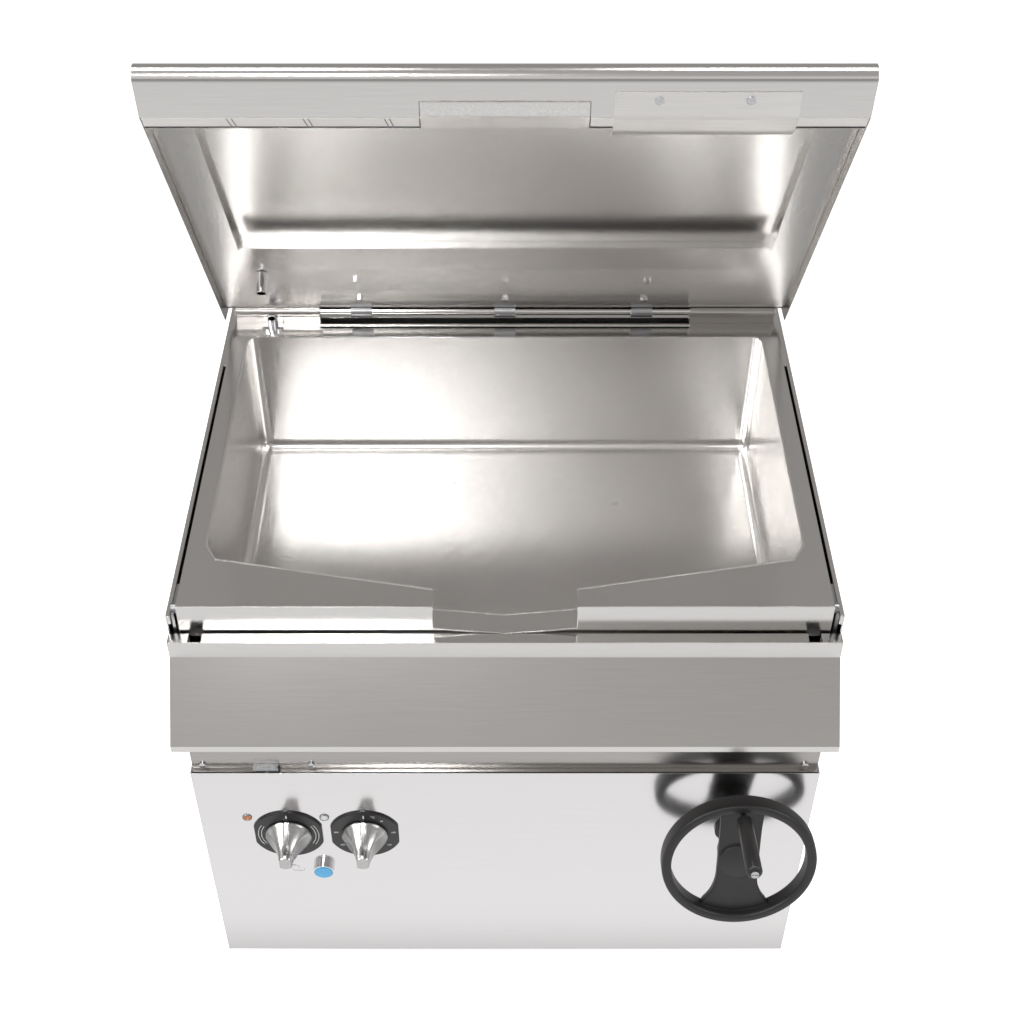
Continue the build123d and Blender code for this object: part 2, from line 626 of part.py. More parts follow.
def pan_rim():
    """The flat rim, its turned-down skirts, the hinge shelves and the pouring lip."""
    z0 = RIM_TOP - RIM_SHEET
    rim = block(-RIM_HALF_WIDTH, RIM_HALF_WIDTH, RIM_FRONT, RIM_REAR, z0, RIM_TOP)
    front = block(-RIM_HALF_WIDTH, RIM_HALF_WIDTH, RIM_FRONT, RIM_FRONT + SKIRT_SHEET,
                  RIM_TOP - SKIRT_FRONT_DROP, RIM_TOP)
    rear = block(-RIM_HALF_WIDTH, RIM_HALF_WIDTH, RIM_REAR - SKIRT_SHEET, RIM_REAR,
                 RIM_TOP - SKIRT_REAR_DROP, RIM_TOP)
    rim += front + rear
    for side in (-1, 1):
        xs = sorted((side * RIM_HALF_WIDTH, side * (RIM_HALF_WIDTH - SKIRT_SHEET)))
        rim += block(*xs, RIM_FRONT, RIM_REAR, RIM_TOP - SKIRT_SIDE_DROP, RIM_TOP)
        xs = sorted((side * HOUSING_INNER, side * (HOUSING_OUTER + 2)))
        rim += block(*xs, RIM_REAR, RIM_REAR + SHELF_DEPTH, RIM_TOP - SHELF_DROP, RIM_TOP)
        cheek = sorted((side * SPOUT_HALF_WIDTH, side * (SPOUT_HALF_WIDTH + SPOUT_SHEET)))
        rim += block(*cheek, RIM_FRONT, TUB_FRONT - TUB_WALL,
                     RIM_TOP - SPOUT_DROP - SPOUT_SHEET, RIM_TOP)
    chute_y = RIM_FRONT - 2
    lip = RIM_TOP - SPOUT_DROP
    points = [(-SPOUT_HALF_WIDTH, lip), (0, lip - SPOUT_V), (SPOUT_HALF_WIDTH, lip)]
    under = [(x, z - SPOUT_SHEET) for x, z in reversed(points)]
    face = Plane.XZ.offset(-chute_y) * make_face(Polyline(*(points + under), close=True))
    chute = extrude(face, amount=-(TUB_FRONT - TUB_WALL - chute_y))
    rim -= spout_void()
    rim += chute
    tub = Pos(0, 0, RIM_TOP - 60) * extrude(tub_outline(TUB_WALL), amount=60)
    rim -= tub
    # A relief in the front skirt passes the worm when the pan is tipped.
    rim -= block(WHEEL_X - RELIEF_HALF_WIDTH, WHEEL_X + RELIEF_HALF_WIDTH,
                 RIM_FRONT, RIM_FRONT + SKIRT_SHEET, RIM_TOP - SKIRT_FRONT_DROP, TILT_Z - TILT_RELIEF)
    riser = rod((RISER_X, RIM_REAR + RISER_BEHIND_RIM, RIM_TOP - SKIRT_REAR_DROP), (0, 0, 1),
                PIPE_RADIUS, SKIRT_REAR_DROP)
    rim -= riser
    axle = TRUNNION_RADIUS + RUNNING_CLEARANCE
    return rim - rod((-HALF, TILT_Y, TILT_Z), (1, 0, 0), axle, CABINET_WIDTH)


def pan_sole():
    """The thick heat-spreading plate bonded under the floor."""
    face = tub_outline(-SOLE_INSET)
    return Pos(0, 0, SOLE_BOTTOM) * extrude(face, amount=SOLE_THICKNESS)


def heating_elements():
    """Hairpin tubular heaters lying against the sole."""
    rear = TUB_REAR - SOLE_INSET - ELEMENT_REAR_GAP
    front = rear - ELEMENT_LENGTH
    corner = ELEMENT_LEG / 3
    shapes = []
    for index in range(ELEMENT_COUNT):
        x = (index - (ELEMENT_COUNT - 1) / 2) * ELEMENT_PITCH
        half = ELEMENT_LEG / 2
        right = [(x + half - corner, front), (x + half, front + corner), (x + half, rear)]
        left = [(2 * x - px, py) for px, py in reversed(right)]
        path = Polyline(*[(px, py, ELEMENT_Z) for px, py in left + right])
        start = Plane(origin=(x - half, rear, ELEMENT_Z), z_dir=(0, -1, 0))
        shapes.append(sweep(start * Circle(ELEMENT_RADIUS), path=path, transition=Transition.RIGHT))
    return shapes


def under_pan_plate(top, thickness, inset):
    face = tub_outline(-inset)
    return Pos(0, 0, top - thickness) * extrude(face, amount=thickness)


def pan_casing():
    """The outer jacket of the pan: a tray below and around the vessel."""
    top = RIM_TOP - CASING_TOP_DROP
    inner = tub_outline(CASING_GAP)
    outer = tub_outline(CASING_GAP + CASING_SHEET)
    shell = Pos(0, 0, CASING_IN - CASING_SHEET) * extrude(outer, amount=top - CASING_IN + CASING_SHEET)
    shell -= Pos(0, 0, CASING_IN) * extrude(inner, amount=top - CASING_IN)
    flange = Pos(0, 0, top - CASING_SHEET) * extrude(inner, amount=CASING_SHEET)
    flange -= Pos(0, 0, top - CASING_SHEET) * extrude(tub_outline(TUB_WALL), amount=CASING_SHEET)
    return shell + flange


# Tilting gear

def trunnion_plate():
    """The cabinet plate that carries one stub axle."""
    x1 = HALF - UPSTAND_HEM - SEAT
    plate = block(x1 - PLATE, x1, TILT_Y - TRUNNION_FRONT, TILT_Y + TRUNNION_REAR,
                  TILT_Z - TRUNNION_DROP, TILT_Z)
    plate += rod((x1 - PLATE, TILT_Y, TILT_Z - TRUNNION_FRONT), (1, 0, 0), TRUNNION_FRONT, PLATE)
    return plate - rod((x1 - PLATE, TILT_Y, TILT_Z), (1, 0, 0), TRUNNION_RADIUS, PLATE)


def trunnion_pin():
    x1 = HALF - UPSTAND_HEM - SEAT
    return rod((x1, TILT_Y, TILT_Z), (-1, 0, 0), TRUNNION_RADIUS, x1 - BUSH_END + SEAT)


def trunnion_bush():
    start = RIM_HALF_WIDTH - SKIRT_SHEET
    return tube((start, TILT_Y, TILT_Z), (-1, 0, 0), TRUNNION_RADIUS + BUSH_WALL,
                TRUNNION_RADIUS + RUNNING_CLEARANCE, BUSH_LENGTH)


def sector_outline(turn):
    """The toothed quadrant about the tilt axis, turned by an angle to slope its teeth."""
    root = SECTOR_RADIUS - 1.2 * GEAR_MODULE
    tip = SECTOR_RADIUS + GEAR_MODULE
    half_thick = pi * GEAR_MODULE / 4 - BACKLASH / 2
    pitch = 360 / SECTOR_TEETH
    teeth = int(TILT_RANGE / pitch) + 2
    points = [(-6.0, SECTOR_TOP), (-6.0, -12.0)]
    for tooth in range(-teeth, 2):
        for radius, side in ((root, -1), (tip, -1), (tip, 1), (root, 1)):
            wide = (half_thick - (radius - SECTOR_RADIUS) * tan(radians(20))) / radius
            angle = radians(tooth * pitch + turn) + side * wide
            points.append((radius * cos(angle), min(radius * sin(angle), SECTOR_TOP)))
    kept = [points[0]]
    for point in points[1:]:
        if hypot(point[0] - kept[-1][0], point[1] - kept[-1][1]) > 0.05:
            kept.append(point)
    kept.append((SECTOR_RADIUS - 6.0, SECTOR_TOP))
    return [(TILT_Y + y, TILT_Z + z) for y, z in kept]


def tilt_sector():
    """The worm quadrant that is welded under the rim."""
    lead_slope = GEAR_MODULE / 2 / WORM_RADIUS
    skew = degrees(SECTOR_WIDTH / 2 * lead_slope / SECTOR_RADIUS)
    ends = []
    for side in (-1, 1):
        plane = Plane.YZ.offset(WHEEL_X + side * SECTOR_WIDTH / 2)
        ends.append(plane * make_face(Polyline(*sector_outline(side * skew), close=True)))
    return loft(ends, ruled=True)


def worm_shaft():
    """The upright shaft with a single-start worm cut at its upper end."""
    lead = pi * GEAR_MODULE
    root = WORM_RADIUS - 1.2 * GEAR_MODULE
    half_thick = lead / 4 - BACKLASH / 2
    base = TILT_Z - (WORM_TURNS - 0.75) * lead
    helix = Pos(WHEEL_X, WORM_Y, base) * Helix(lead, WORM_TURNS * lead, root - 0.3)
    outer = WORM_RADIUS + GEAR_MODULE
    flank = tan(radians(20))
    low = half_thick + (WORM_RADIUS - root + 0.3) * flank
    high = half_thick - GEAR_MODULE * flank
    start = Plane(origin=(WHEEL_X + root - 0.3, WORM_Y, base), x_dir=(1, 0, 0), z_dir=(0, 1, 0))
    depth = outer - root + 0.3
    profile = start * make_face(Polyline((0, -low), (depth, -high), (depth, high), (0, low), close=True))
    thread = sweep(profile, path=helix, is_frenet=True)
    core = rod((WHEEL_X, WORM_Y, base - 4), (0, 0, 1), root, WORM_TURNS * lead + 8)
    bottom = GEAR_Z + SHAFT_END_GAP
    shaft = rod((WHEEL_X, WORM_Y, bottom), (0, 0, 1), WORM_SHAFT_RADIUS, base - 4 - bottom)
    return core + thread + shaft


def worm_bracket():
    """The bearing of the worm, on a plate that stands on the inner upright."""
    top = BRACKET_TOP
    half = BRACKET_HALF_WIDTH
    plate = block(WHEEL_X - half, WHEEL_X + half, FRAME_Y, FRAME_Y + PLATE, WALL_TOP - BRACKET_FOOT, top)
    nose = block(WHEEL_X - half / 2, WHEEL_X + half / 2, FRAME_Y, WORM_Y + 8.5, top - half, top)
    web = section_x([(FRAME_Y, top - BRACKET_FOOT), (FRAME_Y, top - half), (WORM_Y - 12, top - half)],
                    WHEEL_X - 3, WHEEL_X + 3)
    bore = rod((WHEEL_X, WORM_Y, top - 30), (0, 0, 1), WORM_SHAFT_RADIUS + RUNNING_CLEARANCE, 40)
    return plate + nose + web - bore


def mitre_gearbox():
    """The closed corner gearbox between the sloping handwheel shaft and the upright shaft."""
    half = GEARBOX_HALF_WIDTH
    front = WORM_Y - half
    body = block(WHEEL_X - half, WHEEL_X + half, front, WORM_Y + half - 2, GEAR_Z - half, GEAR_Z + half + 2)
    body = fillet(body.edges().filter_by(Axis.Z), 6)
    neck_z = WHEEL_Z - ((FRAME_Y + front) / 2 - WHEEL_Y) * tan(radians(WHEEL_TILT))
    wide = GEARBOX_FLANGE_HALF
    flange = block(WHEEL_X - wide, WHEEL_X + wide, FRAME_Y, FRAME_Y + 5, neck_z - wide, neck_z + wide)
    neck = rod((WHEEL_X, FRAME_Y, neck_z), (0, 1, 0), GEARBOX_NECK_RADIUS, front - FRAME_Y + 1)
    boss = rod((WHEEL_X, WORM_Y, GEAR_Z + half + 2), (0, 0, 1), WORM_SHAFT_RADIUS * 2, 8)
    shape = body + flange + neck + boss
    shape -= wheel_bore(WHEEL_SHAFT_RADIUS + RUNNING_CLEARANCE, WHEEL_SHAFT_END + SEAT)
    bottom = GEAR_Z + SHAFT_END_GAP - SEAT
    return shape - rod((WHEEL_X, WORM_Y, bottom), (0, 0, 1), WORM_SHAFT_RADIUS + RUNNING_CLEARANCE, 60)


# Handwheel

def spoke_side(top_half, foot_half, inner, side):
    """One curved side of the bar, from the top of the ring to its foot."""
    half = SPOKE_WIDTH / 2
    top_z = (inner ** 2 - top_half ** 2) ** 0.5
    foot_z = (inner ** 2 - foot_half ** 2) ** 0.5
    waist_top, waist_foot = 30.0, -26.0
    upper = ThreePointArc((side * top_half, top_z), (side * (half + 0.4), (top_z + waist_top) / 2),
                          (side * half, waist_top))
    middle = Line((side * half, waist_top), (side * half, waist_foot))
    lower = ThreePointArc((side * half, waist_foot), (side * (half + 4.0), (waist_foot - foot_z) / 2 - 3),
                          (side * foot_half, -foot_z))
    return [upper, middle, lower]


def handwheel():
    """A moulded ring with one flared bar across it and a hub behind."""
    w, d, c = RING_WIDTH / 2, RING_DEPTH / 2, RING_CHAMFER
    mean = WHEEL_RADIUS - w
    outline = [(mean - w, -d + c), (mean - w + c, -d), (mean + w - c, -d), (mean + w, -d + c),
               (mean + w, d - c), (mean + w - c, d), (mean - w + c, d), (mean - w, d - c)]
    ring = revolve(make_face(Plane.XY * Polyline(*outline, close=True)), Axis.Y, 360)
    inner = mean - w + 2
    top_half, foot_half = SPOKE_TOP_WIDTH / 2, SPOKE_FOOT_WIDTH / 2
    top_z = (inner ** 2 - top_half ** 2) ** 0.5
    foot_z = (inner ** 2 - foot_half ** 2) ** 0.5
    edges = spoke_side(top_half, foot_half, inner, 1) + spoke_side(top_half, foot_half, inner, -1)
    edges.append(ThreePointArc((-top_half, top_z), (0, inner), (top_half, top_z)))
    edges.append(ThreePointArc((-foot_half, -foot_z), (0, -inner), (foot_half, -foot_z)))
    face = Plane.XZ * make_face(edges)
    front = -SPOKE_THICKNESS / 2
    spoke = Pos(0, -front, 0) * extrude(face, amount=SPOKE_THICKNESS)
    hub = rod((0, front, 0), (0, 1, 0), HUB_RADIUS, HUB_LENGTH)
    wheel = ring + spoke + hub
    wheel -= rod((0, front + HUB_SKIN, 0), (0, 1, 0), WHEEL_SHAFT_RADIUS, HUB_LENGTH)
    wheel -= rod((0, -RING_DEPTH, GRIP_ORBIT), (0, 1, 0), GRIP_SPINDLE_RADIUS, 2 * RING_DEPTH)
    return on_wheel_axis(Pos(WHEEL_X, WHEEL_Y, WHEEL_Z) * wheel)


def wheel_shaft():
    """The sloping shaft from the blind bore of the wheel to the gearbox."""
    front = HUB_SKIN - SPOKE_THICKNESS / 2
    shaft = rod((WHEEL_X, WHEEL_Y + front, WHEEL_Z), (0, 1, 0), WHEEL_SHAFT_RADIUS, WHEEL_SHAFT_END - front)
    return on_wheel_axis(shaft)


def shaft_flange():
    """The bearing flange round the shaft on the front of the control panel."""
    z = WHEEL_Z - (WHEEL_STANDOFF - FLANGE_BOSS / 2) * tan(radians(WHEEL_TILT))
    flange = rod((WHEEL_X, PANEL_Y, z), (0, -1, 0), FLANGE_RADIUS, FLANGE_THICKNESS)
    flange += rod((WHEEL_X, PANEL_Y, z), (0, -1, 0), FLANGE_BOSS_RADIUS, FLANGE_BOSS)
    return flange - wheel_bore(WHEEL_SHAFT_RADIUS + RUNNING_CLEARANCE, WHEEL_SHAFT_END)


def grip_spindle():
    """The bolt that carries the turning grip, its slotted head at the free end."""
    start = WHEEL_Y + SPOKE_THICKNESS / 2
    tip = WHEEL_Y - GRIP_REACH
    z = WHEEL_Z + GRIP_ORBIT
    bolt = rod((WHEEL_X, start, z), (0, -1, 0), GRIP_SPINDLE_RADIUS, start - tip - GRIP_END_HEAD)
    head = rod((WHEEL_X, tip + GRIP_END_HEAD, z), (0, -1, 0), GRIP_SPINDLE_RADIUS + PASS, GRIP_END_HEAD)
    slot = block(WHEEL_X - 6, WHEEL_X + 6, tip, tip + GRIP_END_HEAD / 2, z - 0.6, z + 0.6)
    return on_wheel_axis(bolt + head - slot)


def grip_sleeve():
    """The turning grip, round and of one width, with a rounded free end."""
    y0 = WHEEL_Y - RING_DEPTH / 2 - PASS
    length = y0 - (WHEEL_Y - GRIP_REACH + GRIP_END_HEAD + SEAT)
    r, e = GRIP_RADIUS, GRIP_END_ROUND
    bore = GRIP_SPINDLE_RADIUS + RUNNING_CLEARANCE
    outline = [(bore, 0), (r - e / 2, 0), (r, e / 2), (r, length - e), (r - e / 3, length - e / 3),
               (r - e, length), (bore, length)]
    body = revolve(make_face(Polyline(*outline, close=True)), Axis.Y, 360)
    return on_wheel_axis(Pos(WHEEL_X, y0, WHEEL_Z + GRIP_ORBIT) * Rot(0, 0, 180) * body)


# Controls

def bezel(x):
    """The round dial plate with flattened sides and an index tab on top."""
    plate = rod((x, PANEL_Y, KNOB_Z), (0, -1, 0), BEZEL_RADIUS, BEZEL_THICKNESS)
    plate &= block(x - BEZEL_HALF_WIDTH, x + BEZEL_HALF_WIDTH, PANEL_Y - BEZEL_THICKNESS, PANEL_Y,
                   KNOB_Z - BEZEL_RADIUS, KNOB_Z + BEZEL_RADIUS)
    plate = chamfer(plate.edges().group_by(Axis.Y)[0], 1)
    plate += block(x - BEZEL_TAB, x + BEZEL_TAB, PANEL_Y - BEZEL_THICKNESS, PANEL_Y,
                   KNOB_Z + BEZEL_RADIUS - 2 * BEZEL_TAB, KNOB_Z + BEZEL_RADIUS + BEZEL_TAB)
    return plate - rod((x, PANEL_Y, KNOB_Z), (0, -1, 0), KNOB_SHAFT_RADIUS + PASS, BEZEL_THICKNESS)


def knob(x):
    """A satin knob: a cone that draws in to an upright fin."""
    y0 = PANEL_Y - BEZEL_THICKNESS - PASS
    profile = [(0.0, 0.0)] + [(radius, -along) for along, radius in KNOB_FLANK] + [(0.0, -KNOB_REACH)]
    cone = Pos(x, y0, KNOB_Z) * revolve(make_face(Polyline(*profile, close=True)), Axis.Y, 360)
    right = [(x + half, y0 - along) for along, half in KNOB_FIN]
    left = [(x - half, y0 - along) for along, half in reversed(KNOB_FIN)]
    low = Plane.XY.offset(KNOB_Z - 2 * KNOB_RADIUS)
    fin = extrude(low * make_face(Polyline(*(right + left), close=True)), amount=4 * KNOB_RADIUS)
    shaft = rod((x, y0 - 2, KNOB_Z), (0, 1, 0), KNOB_SHAFT_RADIUS,
                BEZEL_THICKNESS + PASS + PANEL_SHEET + KNOB_SHAFT_DEPTH)
    return (cone & fin) + shaft


def switch_body(x, width, height, depth):
    """A rotary control behind the panel, with the bore its knob shaft turns in."""
    y0 = PANEL_Y + PANEL_SHEET
    body = block(x - width / 2, x + width / 2, y0, y0 + depth, KNOB_Z - height / 2, KNOB_Z + height / 2)
    return body - rod((x, y0, KNOB_Z), (0, 1, 0), KNOB_SHAFT_RADIUS + RUNNING_CLEARANCE,
                      KNOB_SHAFT_DEPTH + 2)


def lamp(x):
    """A pilot lamp: a flat rounded lens in front and its barrel behind the panel."""
    lens = rod((x, PANEL_Y, LAMP_Z), (0, -1, 0), LAMP_RADIUS, LAMP_PROUD)
    lens = chamfer(lens.edges().group_by(Axis.Y)[0], LAMP_PROUD / 2)
    return lens + rod((x, PANEL_Y, LAMP_Z), (0, 1, 0), LAMP_RADIUS - PASS, LAMP_BARREL)


def button_collar():
    """The chrome ring round the button, with a spigot through the panel."""
    at = (BUTTON_X, PANEL_Y, BUTTON_Z)
    throat = BUTTON_RADIUS - 2 * PASS
    ring = tube(at, (0, -1, 0), COLLAR_RADIUS, BUTTON_RADIUS + SEAT, COLLAR_REACH)
    seat = tube(at, (0, -1, 0), COLLAR_RADIUS, throat, PASS)
    spigot = tube(at, (0, 1, 0), COLLAR_RADIUS - 2 * PASS, throat, COLLAR_REAR)
    return ring + seat + spigot


def water_button():
    """The push button: a round cap on a stem that reaches into the valve."""
    y0 = PANEL_Y - COLLAR_REACH - PASS
    depth = COLLAR_REACH - BUTTON_TRAVEL - PASS
    cap = rod((BUTTON_X, y0, BUTTON_Z), (0, 1, 0), BUTTON_RADIUS, depth)
    stem = rod((BUTTON_X, y0 + depth, BUTTON_Z), (0, 1, 0), BUTTON_STEM_RADIUS, BUTTON_STEM)
    return chamfer(cap.edges().group_by(Axis.Y)[0], 1) + stem


def water_valve():
    """The valve behind the button, with its inlet turned down."""
    y0 = PANEL_Y + PANEL_SHEET + 8
    body = block(BUTTON_X - VALVE_WIDTH / 2, BUTTON_X + VALVE_WIDTH / 2, y0, y0 + VALVE_DEPTH,
                 BUTTON_Z - VALVE_HEIGHT / 2, BUTTON_Z + VALVE_HEIGHT / 2)
    front = PANEL_Y + COLLAR_REAR
    body += tube((BUTTON_X, front, BUTTON_Z), (0, 1, 0), COLLAR_RADIUS - 2 * PASS, BUTTON_RADIUS - 2 * PASS,
                 y0 - front)
    inlet_z = BUTTON_Z - VALVE_HEIGHT / 2 - VALVE_INLET
    body += rod((BUTTON_X, y0 + VALVE_DEPTH / 2, inlet_z), (0, 0, 1), 8, VALVE_INLET + 2)
    return body - rod((BUTTON_X, y0, BUTTON_Z), (0, 1, 0), BUTTON_STEM_RADIUS + SEAT, BUTTON_STEM)


def contactor():
    """The power contactor behind the inner upright, with its raised contact cover."""
    half_x, half_z = CONTACTOR_WIDTH / 2, CONTACTOR_HEIGHT / 2
    back = FRAME_Y + CONTACTOR_DEPTH
    body = block(CONTACTOR_X - half_x, CONTACTOR_X + half_x, FRAME_Y, back,
                 CONTACTOR_Z - half_z, CONTACTOR_Z + half_z)
    cover_x, cover_z = half_x * 0.6, half_z * 0.55
    return body + block(CONTACTOR_X - cover_x, CONTACTOR_X + cover_x, back, back + CONTACTOR_COVER,
                        CONTACTOR_Z - cover_z, CONTACTOR_Z + cover_z)


def terminal_block():
    """The supply terminals low on the back, beside the cable gland."""
    x0 = GLAND_X + TERMINAL_OFFSET
    x1 = x0 + (TERMINAL_COUNT - 1) * TERMINAL_PITCH
    front, half = REAR_IN - TERMINAL_DEPTH, TERMINAL_HEIGHT / 2
    body = block(x0 - TERMINAL_END, x1 + TERMINAL_END, front, REAR_IN, GLAND_Z - half, GLAND_Z + half)
    for index in range(TERMINAL_COUNT):
        x = x0 + index * TERMINAL_PITCH
        body -= block(x - TERMINAL_SLOT / 2, x + TERMINAL_SLOT / 2, front, front + TERMINAL_DEPTH / 3,
                      GLAND_Z - half, GLAND_Z + half)
    return body


def cable_gland():
    """The threaded cable gland in the back sheet, with its nut inside."""
    front = REAR_IN - GLAND_DEPTH
    gland = rod((GLAND_X, front, GLAND_Z), (0, 1, 0), GLAND_RADIUS, GLAND_DEPTH + SHEET)
    nut = Plane(origin=(GLAND_X, REAR_IN, GLAND_Z), z_dir=(0, -1, 0)) * extrude(
        RegularPolygon(GLAND_RADIUS + 4, 6), amount=GLAND_DEPTH / 2)
    return gland + nut - rod((GLAND_X, front, GLAND_Z), (0, 1, 0), GLAND_BORE, GLAND_DEPTH + SHEET)


def cross_beam():
    """The folded beam that the resting pan sits over."""
    y0, y1 = REST_Y - BEAM_SIZE / 2, REST_Y + BEAM_SIZE / 2
    low = REST_TOP - BEAM_SIZE
    half = SIDE_IN - SEAT
    points = [(y0, low), (y0, REST_TOP), (y1, REST_TOP), (y1, low)]
    return folded_x(points, BEAM_SHEET, -half, half)


def rest_buffers():
    top = CASING_IN - CASING_SHEET - SEAT
    return both_sides(rod((REST_BUFFER_X, REST_Y, REST_TOP), (0, 0, 1), REST_BUFFER_RADIUS, top - REST_TOP))


# Lid, all in its closed place

def nose_points():
    """The tangent point of the slanted face on the rounded nose, and the face's inward normal."""
    cx, cz = LID_FRONT - NOSE_REACH, LID_TOP - NOSE_RADIUS
    dx, dz = cx - LID_FRONT, cz - LID_BOTTOM
    reach = hypot(dx, dz)
    angle = atan2(dz, dx) + asin(NOSE_RADIUS / reach)
    run = (reach ** 2 - NOSE_RADIUS ** 2) ** 0.5
    tangent = (LID_FRONT + run * cos(angle), LID_BOTTOM + run * sin(angle))
    inward = ((cx - tangent[0]) / NOSE_RADIUS, (cz - tangent[1]) / NOSE_RADIUS)
    return (cx, cz), tangent, inward


def lid_face(inset, low, rear):
    """The lid's side outline in Y and Z, moved inwards by a sheet thickness."""
    (cx, cz), tangent, inward = nose_points()
    radius = NOSE_RADIUS - inset
    start = (tangent[0] + inward[0] * inset, tangent[1] + inward[1] * inset)
    run = ((LID_FRONT - tangent[0]), (LID_BOTTOM - tangent[1]))
    size = hypot(*run)
    length = size + (LID_BOTTOM - low) / abs(run[1] / size)
    foot = (start[0] + run[0] / size * length, start[1] + run[1] / size * length)
    top = (cx, cz + radius)
    middle_angle = (atan2(start[1] - cz, start[0] - cx) % (2 * pi) + pi / 2) / 2
    middle = (cx + radius * cos(middle_angle), cz + radius * sin(middle_angle))
    edges = Polyline(foot, start).edges() + ThreePointArc(start, middle, top).edges()
    edges += Polyline(top, *rear, foot).edges()
    return make_face(edges)


def lid_shell():
    """The outer skin: top, rounded nose, slanted front and side walls."""
    rear_y = HINGE_Y + LID_REAR_REACH
    rear = [(rear_y, LID_TOP), (rear_y, LID_TOP - LID_REAR_TURN), (HINGE_Y, LID_BOTTOM)]
    outer = extrude(Plane.YZ.offset(-HALF) * lid_face(0, LID_BOTTOM, rear), amount=CABINET_WIDTH)
    in_y = rear_y - LID_SHEET
    room = [(in_y, LID_TOP - LID_SHEET), (in_y, LID_TOP - LID_REAR_TURN - 40),
            (HINGE_Y, LID_BOTTOM - 5)]
    inner = extrude(Plane.YZ.offset(-HALF + LID_SHEET) * lid_face(LID_SHEET, LID_BOTTOM - 5, room),
                    amount=CABINET_WIDTH - 2 * LID_SHEET)
    shell = outer - inner
    lip = [(LID_FRONT + LIP_RUN, LID_BOTTOM + LIP_RISE), (LID_FRONT + PASS, LID_BOTTOM)]
    shell += folded_x(lip, LID_SHEET, -HALF + LID_SHEET, HALF - LID_SHEET)
    shell -= block(-LID_NOTCH_HALF_WIDTH, LID_NOTCH_HALF_WIDTH, LID_FRONT - 60,
                   LID_FRONT + LINER_SETBACK - 1, LID_BOTTOM - 5, notch_top())
    for at, inward in handle_screw_places():
        shell -= rod(at, (0, inward[0], inward[1]), SCREW_RADIUS, 8)
    return shell


def notch_top():
    """The height of the cut-out that clears the pouring lip."""
    return LID_BOTTOM + (nose_points()[1][1] - LID_BOTTOM) * LID_NOTCH_SHARE


def notch_plate(rear, foot_z):
    """The tray that closes the cut-out from behind, following the slanted face."""
    inward = nose_points()[2]
    dy, dz = face_run()
    offset = LID_SHEET + SEAT
    start_y, start_z = LID_FRONT + inward[0] * offset, LID_BOTTOM + inward[1] * offset
    points = [(rear, foot_z)]
    for z in (foot_z, notch_top() + NOTCH_PLATE_RISE):
        points.append((start_y + (z - start_z) * dy / dz, z))
    half = LID_NOTCH_HALF_WIDTH - SEAT
    return folded_x(points, LID_SHEET, -half, half)


def lid_liner():
    """The inner skin with its deep-drawn central recess and the tray behind the cut-out."""
    half = HALF - LID_SHEET - SEAT
    y0, y1 = LID_FRONT + LINER_SETBACK, HINGE_Y - LINER_REAR_GAP
    z0, z1 = LINER_Z, LINER_Z + LID_SHEET
    ry0, ry1 = y0 + RECESS_FRONT_BAND, HINGE_Y - RECESS_REAR
    plate = block(-half, half, y0, y1, z0, z1)
    deep = RECESS_RISE
    plate += block(-RECESS_HALF_WIDTH - LID_SHEET, RECESS_HALF_WIDTH + LID_SHEET,
                   ry0 - LID_SHEET, ry1 + LID_SHEET, z0, z1 + deep)
    plate -= block(-RECESS_HALF_WIDTH, RECESS_HALF_WIDTH, ry0, ry1, z0, z0 + deep)
    foot_z = LID_BOTTOM + LID_SHEET + SEAT
    front = block(-half, half, y0, y0 + LID_SHEET, foot_z, z0) + notch_plate(y0 + LID_SHEET, foot_z)
    for row in BOLT_ROWS:
        for x in ARM_X:
            plate -= rod((x, HINGE_Y - row, z0), (0, 0, 1), BOLT_RADIUS, LID_SHEET)
    return plate + front


def lid_baffle():
    """The drip baffle: fixed to the lining at its rear, its free edge over the recess."""
    rear = HINGE_Y - BAFFLE_REAR
    low, seat = LINER_Z - BAFFLE_DROP, LINER_Z - SEAT
    points = [(rear - BAFFLE_DEPTH, low), (rear, low), (rear, seat), (rear + BAFFLE_FOOT, seat)]
    return folded_x(points, LID_SHEET, -BAFFLE_HALF_WIDTH, BAFFLE_HALF_WIDTH)


def lid_handle():
    """The folded grip plate: it lies on the slanted face and turns in under the free edge."""
    dy, dz = face_run()
    high = (LID_FRONT - dy * HANDLE_UP, LID_BOTTOM - dz * HANDLE_UP)
    points = [high, (LID_FRONT, LID_BOTTOM), (LID_FRONT + HANDLE_LIP, LID_BOTTOM)]
    plate = section_x(thick_line(points, HANDLE_SHEET), HANDLE_LEFT, HANDLE_LEFT + HANDLE_WIDTH)
    for at, inward in handle_screw_places():
        plate -= rod(at, (0, inward[0], inward[1]), SCREW_RADIUS, 8)
    return plate


def face_run():
    """The unit direction down the slanted face."""
    tangent = nose_points()[1]
    run = (LID_FRONT - tangent[0], LID_BOTTOM - tangent[1])
    size = hypot(*run)
    return run[0] / size, run[1] / size


def handle_screw_places():
    """The centres of the two screw heads on the grip plate, with the way the screws point."""
    inward = nose_points()[2]
    dy, dz = face_run()
    along = HANDLE_UP - 10
    y = LID_FRONT - dy * along - inward[0] * HANDLE_SHEET
    z = LID_BOTTOM - dz * along - inward[1] * HANDLE_SHEET
    return [((x, y, z), inward) for x in (HANDLE_LEFT + 48, HANDLE_LEFT + HANDLE_WIDTH - 55)]


def hinge_tube():
    """The long tube that the lid turns on, running through both housings."""
    return tube((-HOUSING_OUTER - 2, HINGE_Y, HINGE_Z), (1, 0, 0), HINGE_TUBE_RADIUS,
                HINGE_TUBE_RADIUS - 2, 2 * (HOUSING_OUTER + 2))


